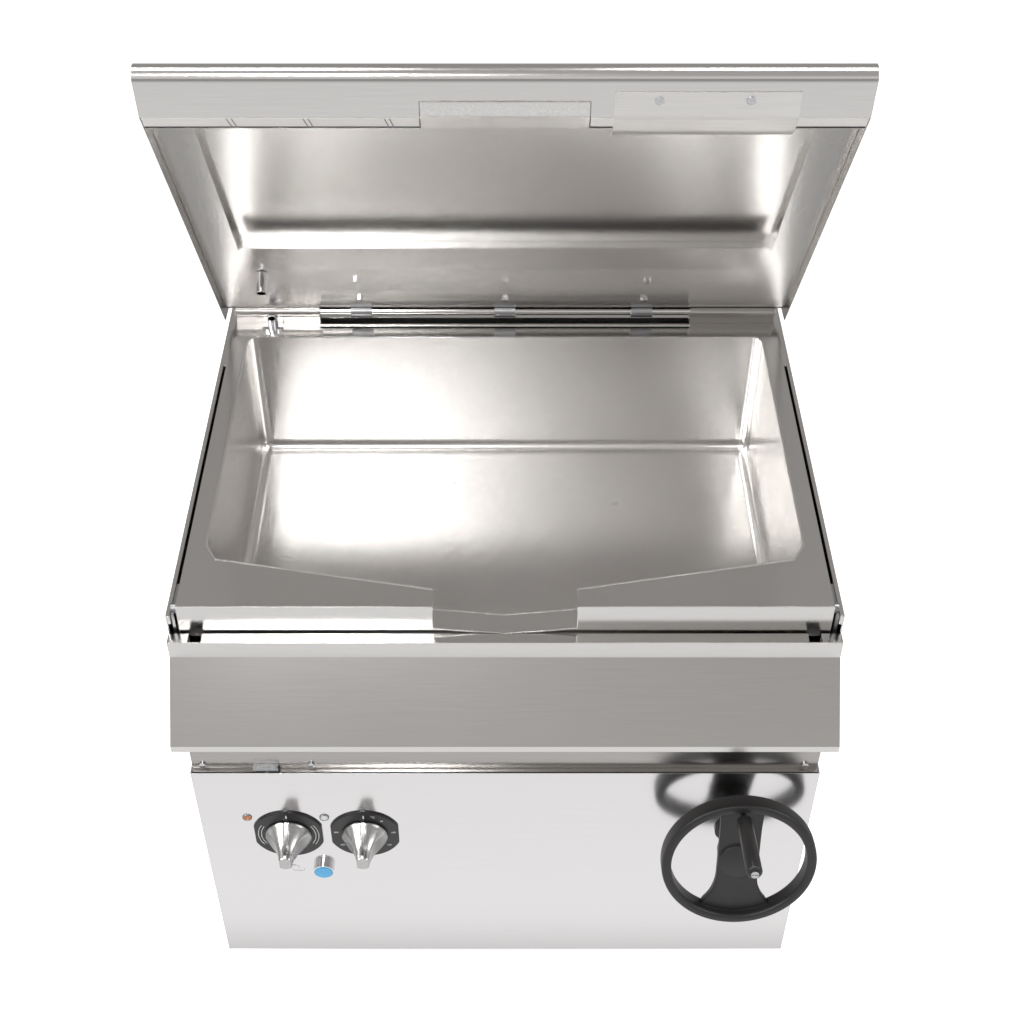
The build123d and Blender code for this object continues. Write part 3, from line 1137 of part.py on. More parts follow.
def hinge_arms():
    """Arms clamped on the tube and bolted to the lining from above."""
    arms = []
    for x in ARM_X:
        z0 = LINER_Z + LID_SHEET
        arm = block(x - ARM_WIDTH / 2, x + ARM_WIDTH / 2, HINGE_Y - ARM_REACH, HINGE_Y + ARM_THICKNESS,
                    z0, z0 + ARM_THICKNESS)
        arm += rod((x - ARM_WIDTH / 2, HINGE_Y, HINGE_Z), (1, 0, 0), HINGE_TUBE_RADIUS + 3, ARM_WIDTH)
        arm -= rod((x - ARM_WIDTH, HINGE_Y, HINGE_Z), (1, 0, 0), HINGE_TUBE_RADIUS, 2 * ARM_WIDTH)
        for row in BOLT_ROWS:
            arm -= rod((x, HINGE_Y - row, z0), (0, 0, 1), BOLT_RADIUS, ARM_THICKNESS)
        arms.append(arm)
    return arms


def lid_bolts():
    bolts = []
    for x in ARM_X:
        for row in BOLT_ROWS:
            y = HINGE_Y - row
            head = Plane(origin=(x, y, LINER_Z), z_dir=(0, 0, -1)) * extrude(
                RegularPolygon(BOLT_HEAD_RADIUS, 6), amount=4)
            bolts.append(head + rod((x, y, LINER_Z), (0, 0, 1), BOLT_RADIUS, LID_SHEET + ARM_THICKNESS))
    return bolts


def lid_nozzle():
    """The short open pipe that hangs from the lining towards the pan."""
    y = HINGE_Y - NOZZLE_ALONG
    pipe = rod((NOZZLE_X, y, LINER_Z), (0, 0, -1), PIPE_RADIUS, NOZZLE_LENGTH)
    return pipe - rod((NOZZLE_X, y, LINER_Z - 4), (0, 0, -1), PIPE_RADIUS - PIPE_WALL, NOZZLE_LENGTH)


# Hinge pieces that stay with the pan

def hinge_housing():
    """A rounded housing over one end of the hinge tube, bored for it and for the spring."""
    foot_half = HOUSING_RADIUS - 1
    body = rod((HOUSING_INNER, HINGE_Y, HINGE_Z), (1, 0, 0), HOUSING_RADIUS, HOUSING_OUTER - HOUSING_INNER)
    shelf_end = RIM_REAR + SHELF_DEPTH
    body += block(HOUSING_INNER, HOUSING_OUTER,
                  HINGE_Y - foot_half, min(HINGE_Y + foot_half, shelf_end), RIM_TOP, HINGE_Z)
    body -= rod((HOUSING_INNER - 1, HINGE_Y, HINGE_Z), (1, 0, 0),
                HINGE_TUBE_RADIUS + RUNNING_CLEARANCE, HOUSING_OUTER - HOUSING_INNER + 2)
    room = rod((HOUSING_INNER + HOUSING_CHEEK, HINGE_Y, HINGE_Z), (1, 0, 0), HOUSING_RADIUS - 1.5,
               HOUSING_OUTER - HOUSING_INNER - 2 * HOUSING_CHEEK)
    return body - room


def torsion_spring():
    """The wound balance spring, drawn as the sleeve that its close turns fill."""
    x0 = HOUSING_INNER + HOUSING_CHEEK + SEAT
    return tube((x0, HINGE_Y, HINGE_Z), (1, 0, 0), HOUSING_RADIUS - 1.5 - 0.15, HINGE_TUBE_RADIUS + 0.3,
                HOUSING_OUTER - HOUSING_INNER - 2 * HOUSING_CHEEK - 2 * SEAT)


def stop_rod():
    """The slim rod that ties the two hinge shelves together."""
    y = RIM_REAR + STOP_ROD_RADIUS + 5
    return rod((-HOUSING_INNER, y, RIM_TOP - SHELF_DROP / 2), (1, 0, 0), STOP_ROD_RADIUS,
               2 * HOUSING_INNER)


def water_riser():
    """The upright filling pipe behind the rim, with its round washer."""
    y = RIM_REAR + RISER_BEHIND_RIM
    pipe = tube((RISER_X, y, RIM_TOP - SKIRT_REAR_DROP), (0, 0, 1), PIPE_RADIUS, PIPE_RADIUS - PIPE_WALL,
                SKIRT_REAR_DROP + RISER_HEIGHT)
    washer = tube((RISER_X, y, RIM_TOP), (0, 0, 1), WASHER_RADIUS, PIPE_RADIUS - PIPE_WALL,
                  WASHER_THICKNESS)
    washer -= block(RISER_X - 40, RISER_X + 40, HINGE_Y - HOUSING_RADIUS + 1 - SEAT, HINGE_Y + 40,
                    RIM_TOP, RIM_TOP + 40)
    washer -= rod((RISER_X - 40, HINGE_Y, HINGE_Z), (1, 0, 0), HOUSING_RADIUS + SEAT, 80)
    return pipe + washer


def panel_screws():
    """Screws in the apron above the control panel."""
    return [screw_y(x, APRON_Y, PANEL_SCREW_Z, PANEL_SCREW_LENGTH) for x in PANEL_SCREW_X]


def handle_screws():
    """The two round-headed screws through the grip plate into the lid."""
    screws = []
    for at, inward in handle_screw_places():
        head = rod(at, (0, -inward[0], -inward[1]), 5, 2)
        screws.append(head + rod(at, (0, inward[0], inward[1]), SCREW_RADIUS, 7))
    return screws


# Write every node

sleeves, feet = legs()
save("base_frame", base_frame())
save("bottom_plate", bottom_plate())
save("leg_sleeves", *sleeves)
save("leg_feet", *feet)
right_side = side_panel()
save("side_panel_right", right_side)
save("side_panel_left", mirror(right_side, about=Plane.YZ))
save("rear_panel", rear_panel())
save("rear_deck", rear_deck())
save("front_fascia", front_fascia())
save("front_wall", front_wall())
save("control_panel", control_panel())
save("panel_clips", *wall_clips())
save("panel_screws", *panel_screws())
save("cross_beam", cross_beam())
save("rest_buffers", *rest_buffers())
save("trunnion_plates", *both_sides(trunnion_plate()))
save("trunnion_pins", *both_sides(trunnion_pin()))
save("mitre_gearbox", mitre_gearbox())
save("worm_bracket", worm_bracket())
save("shaft_flange", shaft_flange())
save("knob_bezels", *[bezel(x) for x in KNOB_X])
save("power_switch", switch_body(KNOB_X[0], *SWITCH_SIZE))
save("thermostat", switch_body(KNOB_X[1], *THERMOSTAT_SIZE))
save("pilot_lamp_orange", lamp(LAMP_X[0]))
save("pilot_lamp_clear", lamp(LAMP_X[1]))
save("button_collar", button_collar())
save("water_valve", water_valve())
save("contactor", contactor())
save("terminal_block", terminal_block())
save("cable_gland", cable_gland())

save("pan_tub", pan_tub())
save("pan_rim", pan_rim())
save("pan_sole", pan_sole())
save("heating_elements", *heating_elements())
save("element_clamp_plate", under_pan_plate(CLAMP_TOP, CLAMP_THICKNESS, SOLE_INSET))
save("pan_insulation", under_pan_plate(WOOL_TOP, WOOL_THICKNESS, SOLE_INSET))
save("pan_casing", pan_casing())
save("trunnion_bushes", *both_sides(trunnion_bush()))
save("tilt_sector", tilt_sector())
save("hinge_housings", *both_sides(hinge_housing()))
save("torsion_springs", *both_sides(torsion_spring()))
save("hinge_stop_rod", stop_rod())
save("water_riser", water_riser())

save("lid_shell", opened(lid_shell()))
save("lid_liner", opened(lid_liner()))
save("lid_baffle", opened(lid_baffle()))
save("lid_handle", opened(lid_handle()))
save("lid_handle_screws", *[opened(s) for s in handle_screws()])
save("lid_hinge_tube", opened(hinge_tube()))
save("lid_hinge_arms", *[opened(s) for s in hinge_arms()])
save("lid_bolts", *[opened(s) for s in lid_bolts()])
save("lid_nozzle", opened(lid_nozzle()))

save("handwheel", handwheel())
save("wheel_shaft", wheel_shaft())
save("grip_spindle", grip_spindle())
save("grip_sleeve", grip_sleeve())
save("worm_shaft", worm_shaft())
save("knob_left", knob(KNOB_X[0]))
save("knob_right", knob(KNOB_X[1]))
save("water_button", water_button())
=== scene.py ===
from math import atan2, copysign, cos, pi, radians, sin

import bmesh
import bpy
from mathutils import Matrix, Vector


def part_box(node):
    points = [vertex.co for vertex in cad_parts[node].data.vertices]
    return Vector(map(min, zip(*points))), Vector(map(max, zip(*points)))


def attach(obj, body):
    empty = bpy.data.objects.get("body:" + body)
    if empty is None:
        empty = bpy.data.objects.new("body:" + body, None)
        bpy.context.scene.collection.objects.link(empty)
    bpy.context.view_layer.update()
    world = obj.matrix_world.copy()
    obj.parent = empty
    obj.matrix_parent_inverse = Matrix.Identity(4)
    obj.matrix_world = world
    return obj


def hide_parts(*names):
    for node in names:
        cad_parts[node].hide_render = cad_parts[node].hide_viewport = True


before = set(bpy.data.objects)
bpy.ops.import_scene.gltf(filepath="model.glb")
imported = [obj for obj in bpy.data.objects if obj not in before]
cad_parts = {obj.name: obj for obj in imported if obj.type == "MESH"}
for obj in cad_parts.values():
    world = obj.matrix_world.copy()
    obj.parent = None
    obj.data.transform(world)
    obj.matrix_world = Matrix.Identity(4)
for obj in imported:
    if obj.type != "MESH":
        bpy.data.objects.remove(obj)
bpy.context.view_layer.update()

# Places and sizes: bmesh work is in millimetres, and each place matrix brings it to metres
MM = 0.001
PANEL_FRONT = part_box("control_panel")[0].y / MM
BEZEL_FACE = PANEL_FRONT - 3.0
WHEEL_TILT = 13.0
WHEEL_CENTRE = (301.0, PANEL_FRONT - 57.0, 476.0)
KNOB_X = (-286.6, -185.6)
KNOB_Z = 454.0
LAMP_X = (-338.0, -237.0)
LAMP_Z = 489.0
HINGE_Y, HINGE_Z = 339.0, 866.0
LID_OPEN = 59.8


# Colour and node helpers

def srgb(text):
    """A hex colour such as C8C6C2 as linear values with full alpha."""
    values = [int(text[i:i + 2], 16) / 255 for i in (0, 2, 4)]
    linear = [v / 12.92 if v <= 0.04045 else ((v + 0.055) / 1.055) ** 2.4 for v in values]
    return (*linear, 1.0)


def socket_of(node, name):
    """An input by its place, such as i0, or by its name, with underscores for spaces."""
    if name[0] == "i" and name[1:].isdigit():
        return node.inputs[int(name[1:])]
    return node.inputs[name.replace("_", " ")]


def add(tree, kind, settings=None, **links):
    """Adds a node, sets its (place, hex) stops, its properties and inputs, and links the given sockets."""
    node = tree.nodes.new("ShaderNode" + kind)
    for name, value in (settings or {}).items():
        if name == "stops":
            elements = node.color_ramp.elements
            while len(elements) < len(value):
                elements.new(0.5)
            for element, (place, colour) in zip(elements, value):
                element.position = place
                element.color = srgb(colour)
        elif hasattr(node, name):
            setattr(node, name, value)
        else:
            socket_of(node, name).default_value = value
    for name, source in links.items():
        tree.links.new(source, socket_of(node, name))
    return node


def blank(name, settings=None):
    """A new material with only a Principled surface and its output."""
    material = bpy.data.materials.new(name)
    material.use_nodes = True
    tree = material.node_tree
    tree.nodes.clear()
    surface = add(tree, "BsdfPrincipled", settings)
    add(tree, "OutputMaterial", Surface=surface.outputs[0])
    return material, tree, surface


def dress(tree, surface, **sources):
    """Links what the patterns give to the surface's inputs."""
    for name, source in sources.items():
        tree.links.new(source, socket_of(surface, name))


# Patterns as noise cells to the metre. A streak runs about 70 mm along the grain, and at a grain of 60 it
# is 1.2 mm across: real scratches are near 0.1 mm, too fine to show, so they are drawn coarser. A polish
# varies over 200 mm, a moulding's colour over 45 mm and a lens over 6 mm. Wool has tufts of 6 mm, and ink
# has specks of 1 mm, drawn coarser than they are.
STREAKS = 14.0
POLISH_CLOUDS = 5.0
MOULDING_CLOUDS = 22.0
LENS_CLOUDS = 180.0
WOOL_TUFTS = 160.0
INK_SPECKS = 900.0
# Heights of the relief and radii of the broken edges, in metres
SCRATCH_HEIGHT = 0.4 * MM
PEBBLE_HEIGHT = 0.2 * MM
TUFT_HEIGHT = 1.5 * MM
SHEET_EDGE = 1.2 * MM
MOULDED_EDGE = 0.8 * MM
PLATED_EDGE = 0.3 * MM
CAST_EDGE = 0.6 * MM
EDGE_SAMPLES = 4
# How far a moulding's roughness strays from its mean
MOULDED_MOTTLE = 0.04
PLASTIC_IOR = 1.5
ACRYLIC_IOR = 1.49
SCATTER_DEPTH = (2 * MM, 1 * MM, 0.6 * MM)


# Finishes

def metal(name, dark, light, roughness, grain=(1, 60, 60), depth=0.02, mottle=0.03, edge=SHEET_EDGE):
    """Bare or plated metal: a grain along one way, a faint uneven polish and softly broken edges."""
    material, tree, surface = blank(name, {"Metallic": 1.0})
    place = add(tree, "TexCoord").outputs["Object"]
    stretched = add(tree, "Mapping", {"Scale": grain}, Vector=place)
    streaks = add(tree, "TexNoise", {"Scale": STREAKS, "Detail": 4.0, "Roughness": 0.6},
                  Vector=stretched.outputs["Vector"])
    clouds = add(tree, "TexNoise", {"Scale": POLISH_CLOUDS, "Detail": 2.0}, Vector=place)
    colour = add(tree, "ValToRGB", {"stops": ((0.35, dark), (0.65, light))}, i0=streaks.outputs["Fac"])
    uneven = add(tree, "MapRange", {"To Min": roughness - mottle, "To Max": roughness + mottle},
                 i0=clouds.outputs["Fac"])
    rounded = add(tree, "Bevel", {"samples": EDGE_SAMPLES, "Radius": edge})
    relief = add(tree, "Bump", {"Strength": depth, "Distance": SCRATCH_HEIGHT},
                 Height=streaks.outputs["Fac"], Normal=rounded.outputs["Normal"])
    dress(tree, surface, Base_Color=colour.outputs["Color"], Roughness=uneven.outputs["Result"],
          Normal=relief.outputs["Normal"])
    return material


def moulded(name, dark, light, roughness, grit_mm=1.2, depth=0.08, coat=0.0):
    """Moulded plastic, rubber or painted casting: a pebble, two grits to a cell, and a cloudy colour."""
    material, tree, surface = blank(name, {"IOR": PLASTIC_IOR, "Coat Weight": coat})
    place = add(tree, "TexCoord").outputs["Object"]
    pebble = add(tree, "TexNoise", {"Scale": 1000 / grit_mm / 2, "Detail": 2.0}, Vector=place)
    clouds = add(tree, "TexNoise", {"Scale": MOULDING_CLOUDS, "Detail": 3.0}, Vector=place)
    colour = add(tree, "ValToRGB", {"stops": ((0.3, dark), (0.7, light))}, i0=clouds.outputs["Fac"])
    uneven = add(tree, "MapRange",
                 {"To Min": roughness - MOULDED_MOTTLE, "To Max": roughness + MOULDED_MOTTLE},
                 i0=pebble.outputs["Fac"])
    rounded = add(tree, "Bevel", {"samples": EDGE_SAMPLES, "Radius": MOULDED_EDGE})
    relief = add(tree, "Bump", {"Strength": depth, "Distance": PEBBLE_HEIGHT},
                 Height=pebble.outputs["Fac"], Normal=rounded.outputs["Normal"])
    dress(tree, surface, Base_Color=colour.outputs["Color"], Roughness=uneven.outputs["Result"],
          Normal=relief.outputs["Normal"])
    return material


def lens(name, dark, light, scatter):
    """A small moulded acrylic lens that scatters some of the light that enters it."""
    material, tree, surface = blank(name, {
        "IOR": ACRYLIC_IOR, "Roughness": 0.12, "Subsurface Weight": scatter,
        "Subsurface Radius": SCATTER_DEPTH, "Coat Weight": 0.6})
    place = add(tree, "TexCoord").outputs["Object"]
    clouds = add(tree, "TexNoise", {"Scale": LENS_CLOUDS, "Detail": 2.0}, Vector=place)
    colour = add(tree, "ValToRGB", {"stops": ((0.3, dark), (0.7, light))}, i0=clouds.outputs["Fac"])
    dress(tree, surface, Base_Color=colour.outputs["Color"])
    return material


def mineral_wool(name, dark, light):
    """Matted fibre in tufts."""
    material, tree, surface = blank(name, {"Roughness": 0.95})
    place = add(tree, "TexCoord").outputs["Object"]
    tufts = add(tree, "TexNoise", {"Scale": WOOL_TUFTS, "Detail": 6.0, "Roughness": 0.7}, Vector=place)
    colour = add(tree, "ValToRGB", {"stops": ((0.3, dark), (0.7, light))}, i0=tufts.outputs["Fac"])
    relief = add(tree, "Bump", {"Strength": 0.6, "Distance": TUFT_HEIGHT}, Height=tufts.outputs["Fac"])
    dress(tree, surface, Base_Color=colour.outputs["Color"], Normal=relief.outputs["Normal"])
    return material


def printed(name, dark, light):
    """A printed mark in one matt ink, faintly uneven."""
    material, tree, surface = blank(name, {"Roughness": 0.5})
    place = add(tree, "TexCoord").outputs["Object"]
    specks = add(tree, "TexNoise", {"Scale": INK_SPECKS, "Detail": 1.0}, Vector=place)
    colour = add(tree, "ValToRGB", {"stops": ((0.2, dark), (0.8, light))}, i0=specks.outputs["Fac"])
    dress(tree, surface, Base_Color=colour.outputs["Color"])
    return material


# Bright annealed sheet of the cabinet front, rolled along X and nearly a mirror
PANEL_SHEET = metal("bright_annealed_304", "DCDADA", "DEDCDC", 0.15, mottle=0.01, depth=0.002)
# Satin-ground sheet of the fascia, rim and lid, which mirrors softly
GROUND_SHEET = metal("satin_ground_304", "D4D2D0", "D8D6D4", 0.2, mottle=0.015, depth=0.004)
# Deep-drawn tub and lid lining, blasted to a soft even sheen
DRAWN_SHEET = metal("soft_blasted_304", "D8D6D4", "E4E2E0", 0.26, grain=(30, 30, 30), depth=0.13)
# Pale rough sheet on the lid's lip, without a mirror: its near-white colour is a painted highlight,
# standing in for the light the lip catches
LIP_HIGHLIGHT_SHEET = metal("pale_304_painted_highlight", "F6F4F2", "FCFAF8", 0.7, depth=0.01)
# Grip plate blasted with glass beads, soft and pale beside the ground face
BLASTED_SHEET = metal("bead_blasted_304", "E6E4E2", "ECEAE8", 0.46, depth=0.01)
# Dull mill-finish sheet behind the panel, a little rougher than the ground faces; its colour is darker
# than theirs as painted shade, for the recess under the fascia where it sits
MILL_SHEET_SHADED = metal("mill_finish_304_painted_shade", "A8A5A2", "AEABA8", 0.24, mottle=0.02, depth=0.004)
# Polished tube, with a clear highlight drawn out along it
TUBE_STEEL = metal("polished_tube_304", "CFCDCA", "DEDBD8", 0.12, grain=(1, 40, 40))
# Galvanised sheet, dull grey with a mottled sheen
GALVANISED = metal("galvanised_sheet", "9A9C9E", "B4B6B8", 0.42, grain=(9, 9, 9), mottle=0.1)
# Turned and milled steel, mid grey with fine tool lines
MACHINED = metal("machined_steel", "8E8E90", "A4A4A6", 0.32, grain=(60, 2, 60))
# Zinc plate of the screws and bolts, bright and a little hazy
ZINC = metal("bright_zinc_plate", "BEBEC0", "D2D2D4", 0.2, grain=(40, 40, 40), edge=PLATED_EDGE)
# Chrome plate of the water fittings and collar, the clearest mirror here
CHROME = metal("bright_chrome_plate", "D8D8DA", "E6E6E8", 0.06, edge=PLATED_EDGE, depth=0.005)
# Painted cast iron, dark grey over a coarse sand-cast skin
CAST_IRON = moulded("painted_cast_iron", "4A4C4E", "5C5E60", 0.5, grit_mm=3, depth=0.3)
# Turned bronze of the bushes, warm brown with a soft sheen
BRONZE = metal("turned_bronze", "8C6A3C", "A8834E", 0.3)
# Cast brass of the water valve, yellow and slightly grainy
BRASS = metal("cast_brass", "A8874A", "C4A464", 0.32, grain=(20, 20, 20))
# Heater sheath oxidised by heat, dark brown-grey and dull
ELEMENT = metal("heat_oxidised_sheath", "4E4A46", "6A645E", 0.45, grain=(20, 20, 20))
# Oiled spring steel, nearly black with a greasy sheen
SPRING = metal("oiled_spring_steel", "4A4A4C", "626264", 0.35, grain=(90, 2, 2), depth=0.2)
# Mineral wool, matted yellow fibre without shine
WOOL = mineral_wool("matted_mineral_wool", "8C7A48", "C8B880")
# Satin zinc casting of the knobs, with fine lines that soften its highlights
KNOB_METAL = metal("satin_zinc_casting", "AEADAC", "C6C5C4", 0.26, grain=(60, 2, 60), edge=CAST_EDGE)
# Satin black ABS of the bezels, an even dark ground for the print
BEZEL_PLASTIC = moulded("satin_black_abs", "111112", "19191A", 0.38, coat=0.1)
# Black phenolic of the handwheel, with a fine moulded pebble
WHEEL_PLASTIC = moulded("black_phenolic", "1E1D1D", "242323", 0.42)
# Polished phenolic of the grip, a little paler and shinier than the wheel
GRIP_PLASTIC = moulded("polished_black_phenolic", "262525", "2C2B2B", 0.3)
# Cream nylon of the closed electrical units, matt
SWITCH_PLASTIC = moulded("cream_moulded_nylon", "C6C2B4", "D4D0C4", 0.5)
# Black nylon of the cable gland, matt
GLAND_PLASTIC = moulded("black_nylon", "26262A", "303034", 0.5)
# Dark grey nylon of the feet, matt
FOOT_PLASTIC = moulded("dark_grey_nylon", "222224", "2C2C2E", 0.5)
# Moulded rubber of the rest buffers, black and without shine
RUBBER = moulded("moulded_rubber", "161616", "202020", 0.8)
# Orange acrylic lens, which glows softly where light enters it
ORANGE = lens("orange_acrylic_lens", "A2551C", "CC7C38", 0.3)
# Clear acrylic lens, pale and glossy
CLEAR = lens("clear_acrylic_lens", "C4C8C8", "E0E4E4", 0.2)
# Gloss blue ABS of the water button, coated and smooth
BLUE = moulded("gloss_blue_abs", "38A0DA", "46B0E6", 0.22, coat=0.5, depth=0.02)
# White ink of the two dial scales, matt
WHITE_INK = printed("white_scale_ink", "D8D8D6", "ECECEA")
# Grey ink of the tap pictogram, matt
GREY_INK = printed("grey_pictogram_ink", "8A8A8A", "9C9C9C")

NODE_FINISH = {
    "base_frame": GALVANISED, "bottom_plate": GALVANISED, "leg_sleeves": GROUND_SHEET,
    "leg_feet": FOOT_PLASTIC, "side_panel_right": GROUND_SHEET, "side_panel_left": GROUND_SHEET,
    "rear_panel": GALVANISED, "rear_deck": GROUND_SHEET, "front_fascia": GROUND_SHEET,
    "front_wall": MILL_SHEET_SHADED, "control_panel": PANEL_SHEET, "panel_clips": GALVANISED,
    "panel_screws": ZINC, "cross_beam": GALVANISED, "rest_buffers": RUBBER,
    "trunnion_plates": MACHINED, "trunnion_pins": MACHINED, "mitre_gearbox": CAST_IRON,
    "worm_bracket": MACHINED, "shaft_flange": BEZEL_PLASTIC, "knob_bezels": BEZEL_PLASTIC,
    "power_switch": SWITCH_PLASTIC, "thermostat": SWITCH_PLASTIC, "pilot_lamp_orange": ORANGE,
    "pilot_lamp_clear": CLEAR, "button_collar": CHROME, "water_valve": BRASS,
    "contactor": SWITCH_PLASTIC, "terminal_block": SWITCH_PLASTIC, "cable_gland": GLAND_PLASTIC,
    "pan_tub": DRAWN_SHEET, "pan_rim": GROUND_SHEET, "pan_sole": MACHINED,
    "heating_elements": ELEMENT, "element_clamp_plate": GALVANISED, "pan_insulation": WOOL,
    "pan_casing": GALVANISED, "trunnion_bushes": BRONZE, "tilt_sector": MACHINED,
    "hinge_housings": MILL_SHEET_SHADED, "torsion_springs": SPRING, "hinge_stop_rod": TUBE_STEEL,
    "water_riser": CHROME, "lid_shell": GROUND_SHEET, "lid_liner": DRAWN_SHEET,
    "lid_baffle": GROUND_SHEET, "lid_handle": GROUND_SHEET, "lid_handle_screws": ZINC,
    "lid_hinge_tube": TUBE_STEEL, "lid_hinge_arms": MACHINED, "lid_bolts": ZINC,
    "lid_nozzle": CHROME, "handwheel": WHEEL_PLASTIC, "wheel_shaft": MACHINED,
    "grip_spindle": ZINC, "grip_sleeve": WHEEL_PLASTIC, "worm_shaft": MACHINED,
    "knob_left": KNOB_METAL, "knob_right": KNOB_METAL, "water_button": BLUE,
}

for node_name, finish in NODE_FINISH.items():
    for material_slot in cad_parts[node_name].material_slots:
        material_slot.material = finish


# Places on the object

def place_at(x, y, z, turn=Matrix.Identity(4)):
    """A matrix that turns a piece, moves it in millimetres and brings it to metres."""
    return Matrix.Diagonal((MM, MM, MM, 1)) @ Matrix.Translation((x, y, z)) @ turn


# Local Z to the front and local Y up
FACING_FRONT = Matrix.Rotation(radians(90), 4, "X")
IN_PLACE = place_at(0, 0, 0)
WHEEL_PLACE = place_at(*WHEEL_CENTRE, Matrix.Rotation(radians(90 - WHEEL_TILT), 4, "X"))
# Brings a point of the closed lid to where it is with the lid open
LID_PLACE = (place_at(0, HINGE_Y, HINGE_Z, Matrix.Rotation(radians(-LID_OPEN), 4, "X"))
             @ Matrix.Translation((0, -HINGE_Y, -HINGE_Z)))


# Making pieces

SPIN_STEPS = 48
WELD_DISTANCE = 1e-4
SHARP_ANGLE = 30.0
ROUND_STEPS = 3
BEND_STEPS = 5
# Angles from which the shading breaks: on most pieces, on the knobs' drawn sides, on smooth round ones
# and on the lamps' narrow rims
USUAL_CREASE = 32
KNOB_CREASE = 26
ROUND_CREASE = 50
RIM_CREASE = 60


def only(kind, geometry):
    """The vertices or the edges among what an operator made."""
    return [part for part in geometry if isinstance(part, kind)]


def turned(profile):
    """A shape spun about local Z from (radius, height) points."""
    bm = bmesh.new()
    verts = [bm.verts.new((radius, 0, height)) for radius, height in profile]
    edges = [bm.edges.new(pair) for pair in zip(verts, verts[1:])]
    bmesh.ops.spin(bm, geom=verts + edges, cent=(0, 0, 0), axis=(0, 0, 1), angle=2 * pi,
                   steps=SPIN_STEPS, use_merge=True)
    bmesh.ops.remove_doubles(bm, verts=bm.verts, dist=WELD_DISTANCE)
    bmesh.ops.recalc_face_normals(bm, faces=bm.faces)
    return bm


def soften(bm, width):
    """Rounds every edge that turns by more than the sharp angle."""
    bmesh.ops.recalc_face_normals(bm, faces=bm.faces)
    sharp = [edge for edge in bm.edges
             if edge.is_manifold and edge.calc_face_angle(0) > radians(SHARP_ANGLE)]
    bmesh.ops.bevel(bm, geom=sharp, offset=width, offset_type="OFFSET", segments=ROUND_STEPS, profile=0.5,
                    affect="EDGES", clamp_overlap=True, material=-1)
    return bm


def bar(width, depth, height, centre):
    """A rectangular bar centred on a point."""
    bm = bmesh.new()
    shape = Matrix.Translation(centre) @ Matrix.Diagonal((width, depth, height, 1))
    bmesh.ops.create_cube(bm, size=1.0, matrix=shape)
    return bm


def deepened(bm, depth):
    """A flat mesh closed to a slab by a copy of its faces that lies deeper."""
    out = bmesh.ops.extrude_face_region(bm, geom=bm.faces[:])["geom"]
    bmesh.ops.translate(bm, verts=only(bmesh.types.BMVert, out), vec=(0, 0, -depth))
    bmesh.ops.recalc_face_normals(bm, faces=bm.faces)
    return bm


def folded(line, thickness, x0, x1, bend):
    """A sheet folded along X with rounded bends; the line is its outer side in Y and Z."""
    bm = bmesh.new()
    verts = [bm.verts.new((x0, y, z)) for y, z in line]
    for pair in zip(verts, verts[1:]):
        bm.edges.new(pair)
    bmesh.ops.bevel(bm, geom=verts[1:-1], offset=bend, offset_type="OFFSET", segments=BEND_STEPS,
                    profile=0.5, affect="VERTICES", material=-1)
    out = bmesh.ops.extrude_edge_only(bm, edges=bm.edges[:])["geom"]
    bmesh.ops.translate(bm, verts=only(bmesh.types.BMVert, out), vec=(x1 - x0, 0, 0))
    bmesh.ops.recalc_face_normals(bm, faces=bm.faces)
    bmesh.ops.solidify(bm, geom=bm.faces[:], thickness=thickness)
    bmesh.ops.recalc_face_normals(bm, faces=bm.faces)
    return bm


def joined(*parts):
    """Several meshes as separate shells of one."""
    whole = bmesh.new()
    for part in parts:
        mesh = bpy.data.meshes.new("part")
        part.to_mesh(mesh)
        part.free()
        whole.from_mesh(mesh)
        bpy.data.meshes.remove(mesh)
    return whole


def piece(name, bm, body, finish, place, replaces=(), crease=USUAL_CREASE):
    """Turns a finished mesh into an object with its place baked in, riding on a body."""
    bmesh.ops.transform(bm, matrix=place, verts=bm.verts)
    mesh = bpy.data.meshes.new(name)
    bm.to_mesh(mesh)
    bm.free()
    mesh.shade_smooth()
    mesh.set_sharp_from_angle(angle=radians(crease))
    mesh.materials.append(finish)
    made = bpy.data.objects.new(name, mesh)
    bpy.context.scene.collection.objects.link(made)
    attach(made, body)
    if replaces:
        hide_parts(*replaces)


# Handwheel and its grip

RING_MEAN = 93.4
RING_HALF_WIDTH = 6.5
RING_HALF_DEPTH = 12.0
# Below 1 the section's oval fills out towards a rectangle
RING_FULLNESS = 0.42
RING_SECTION_POINTS = 28
RING_STEPS = 112
SPOKE_GRID = (8, 28)
SPOKE_HALF_WIDTH = 26.5
SPOKE_SPAN = 86
SPOKE_REACH = 90
SPOKE_FACE = 1.2
SPOKE_DEPTH = 10.4
SPOKE_EDGE = 1.8
LOWER_FLARE_START = -22
LOWER_FLARE_RUN = 56
LOWER_FLARE_WIDTH = 16.5
LOWER_FLARE_CURVE = 2.2
UPPER_FLARE_START = 40
UPPER_FLARE_RUN = 42
UPPER_FLARE_WIDTH = 2.0
HUB_PROFILE = ((0, -25.3), (24.5, -25.3), (26.8, 4.4), (0, 4.4))
HUB_EDGE = 1.5
GRIP_OFFSET = 78.0
GRIP_PROFILE = ((4.2, 13.2), (8.4, 13.2), (9.9, 14.8), (9.9, 60.0), (9.9, 105.4), (9.0, 107.6),
                (6.6, 108.5), (4.2, 108.5), (4.2, 13.2))
GRIP_EDGE = 0.7


def fuller(value):
    """A circle's coordinate moved out, so that the section fills its corners."""
    return copysign(abs(value) ** RING_FULLNESS, value)


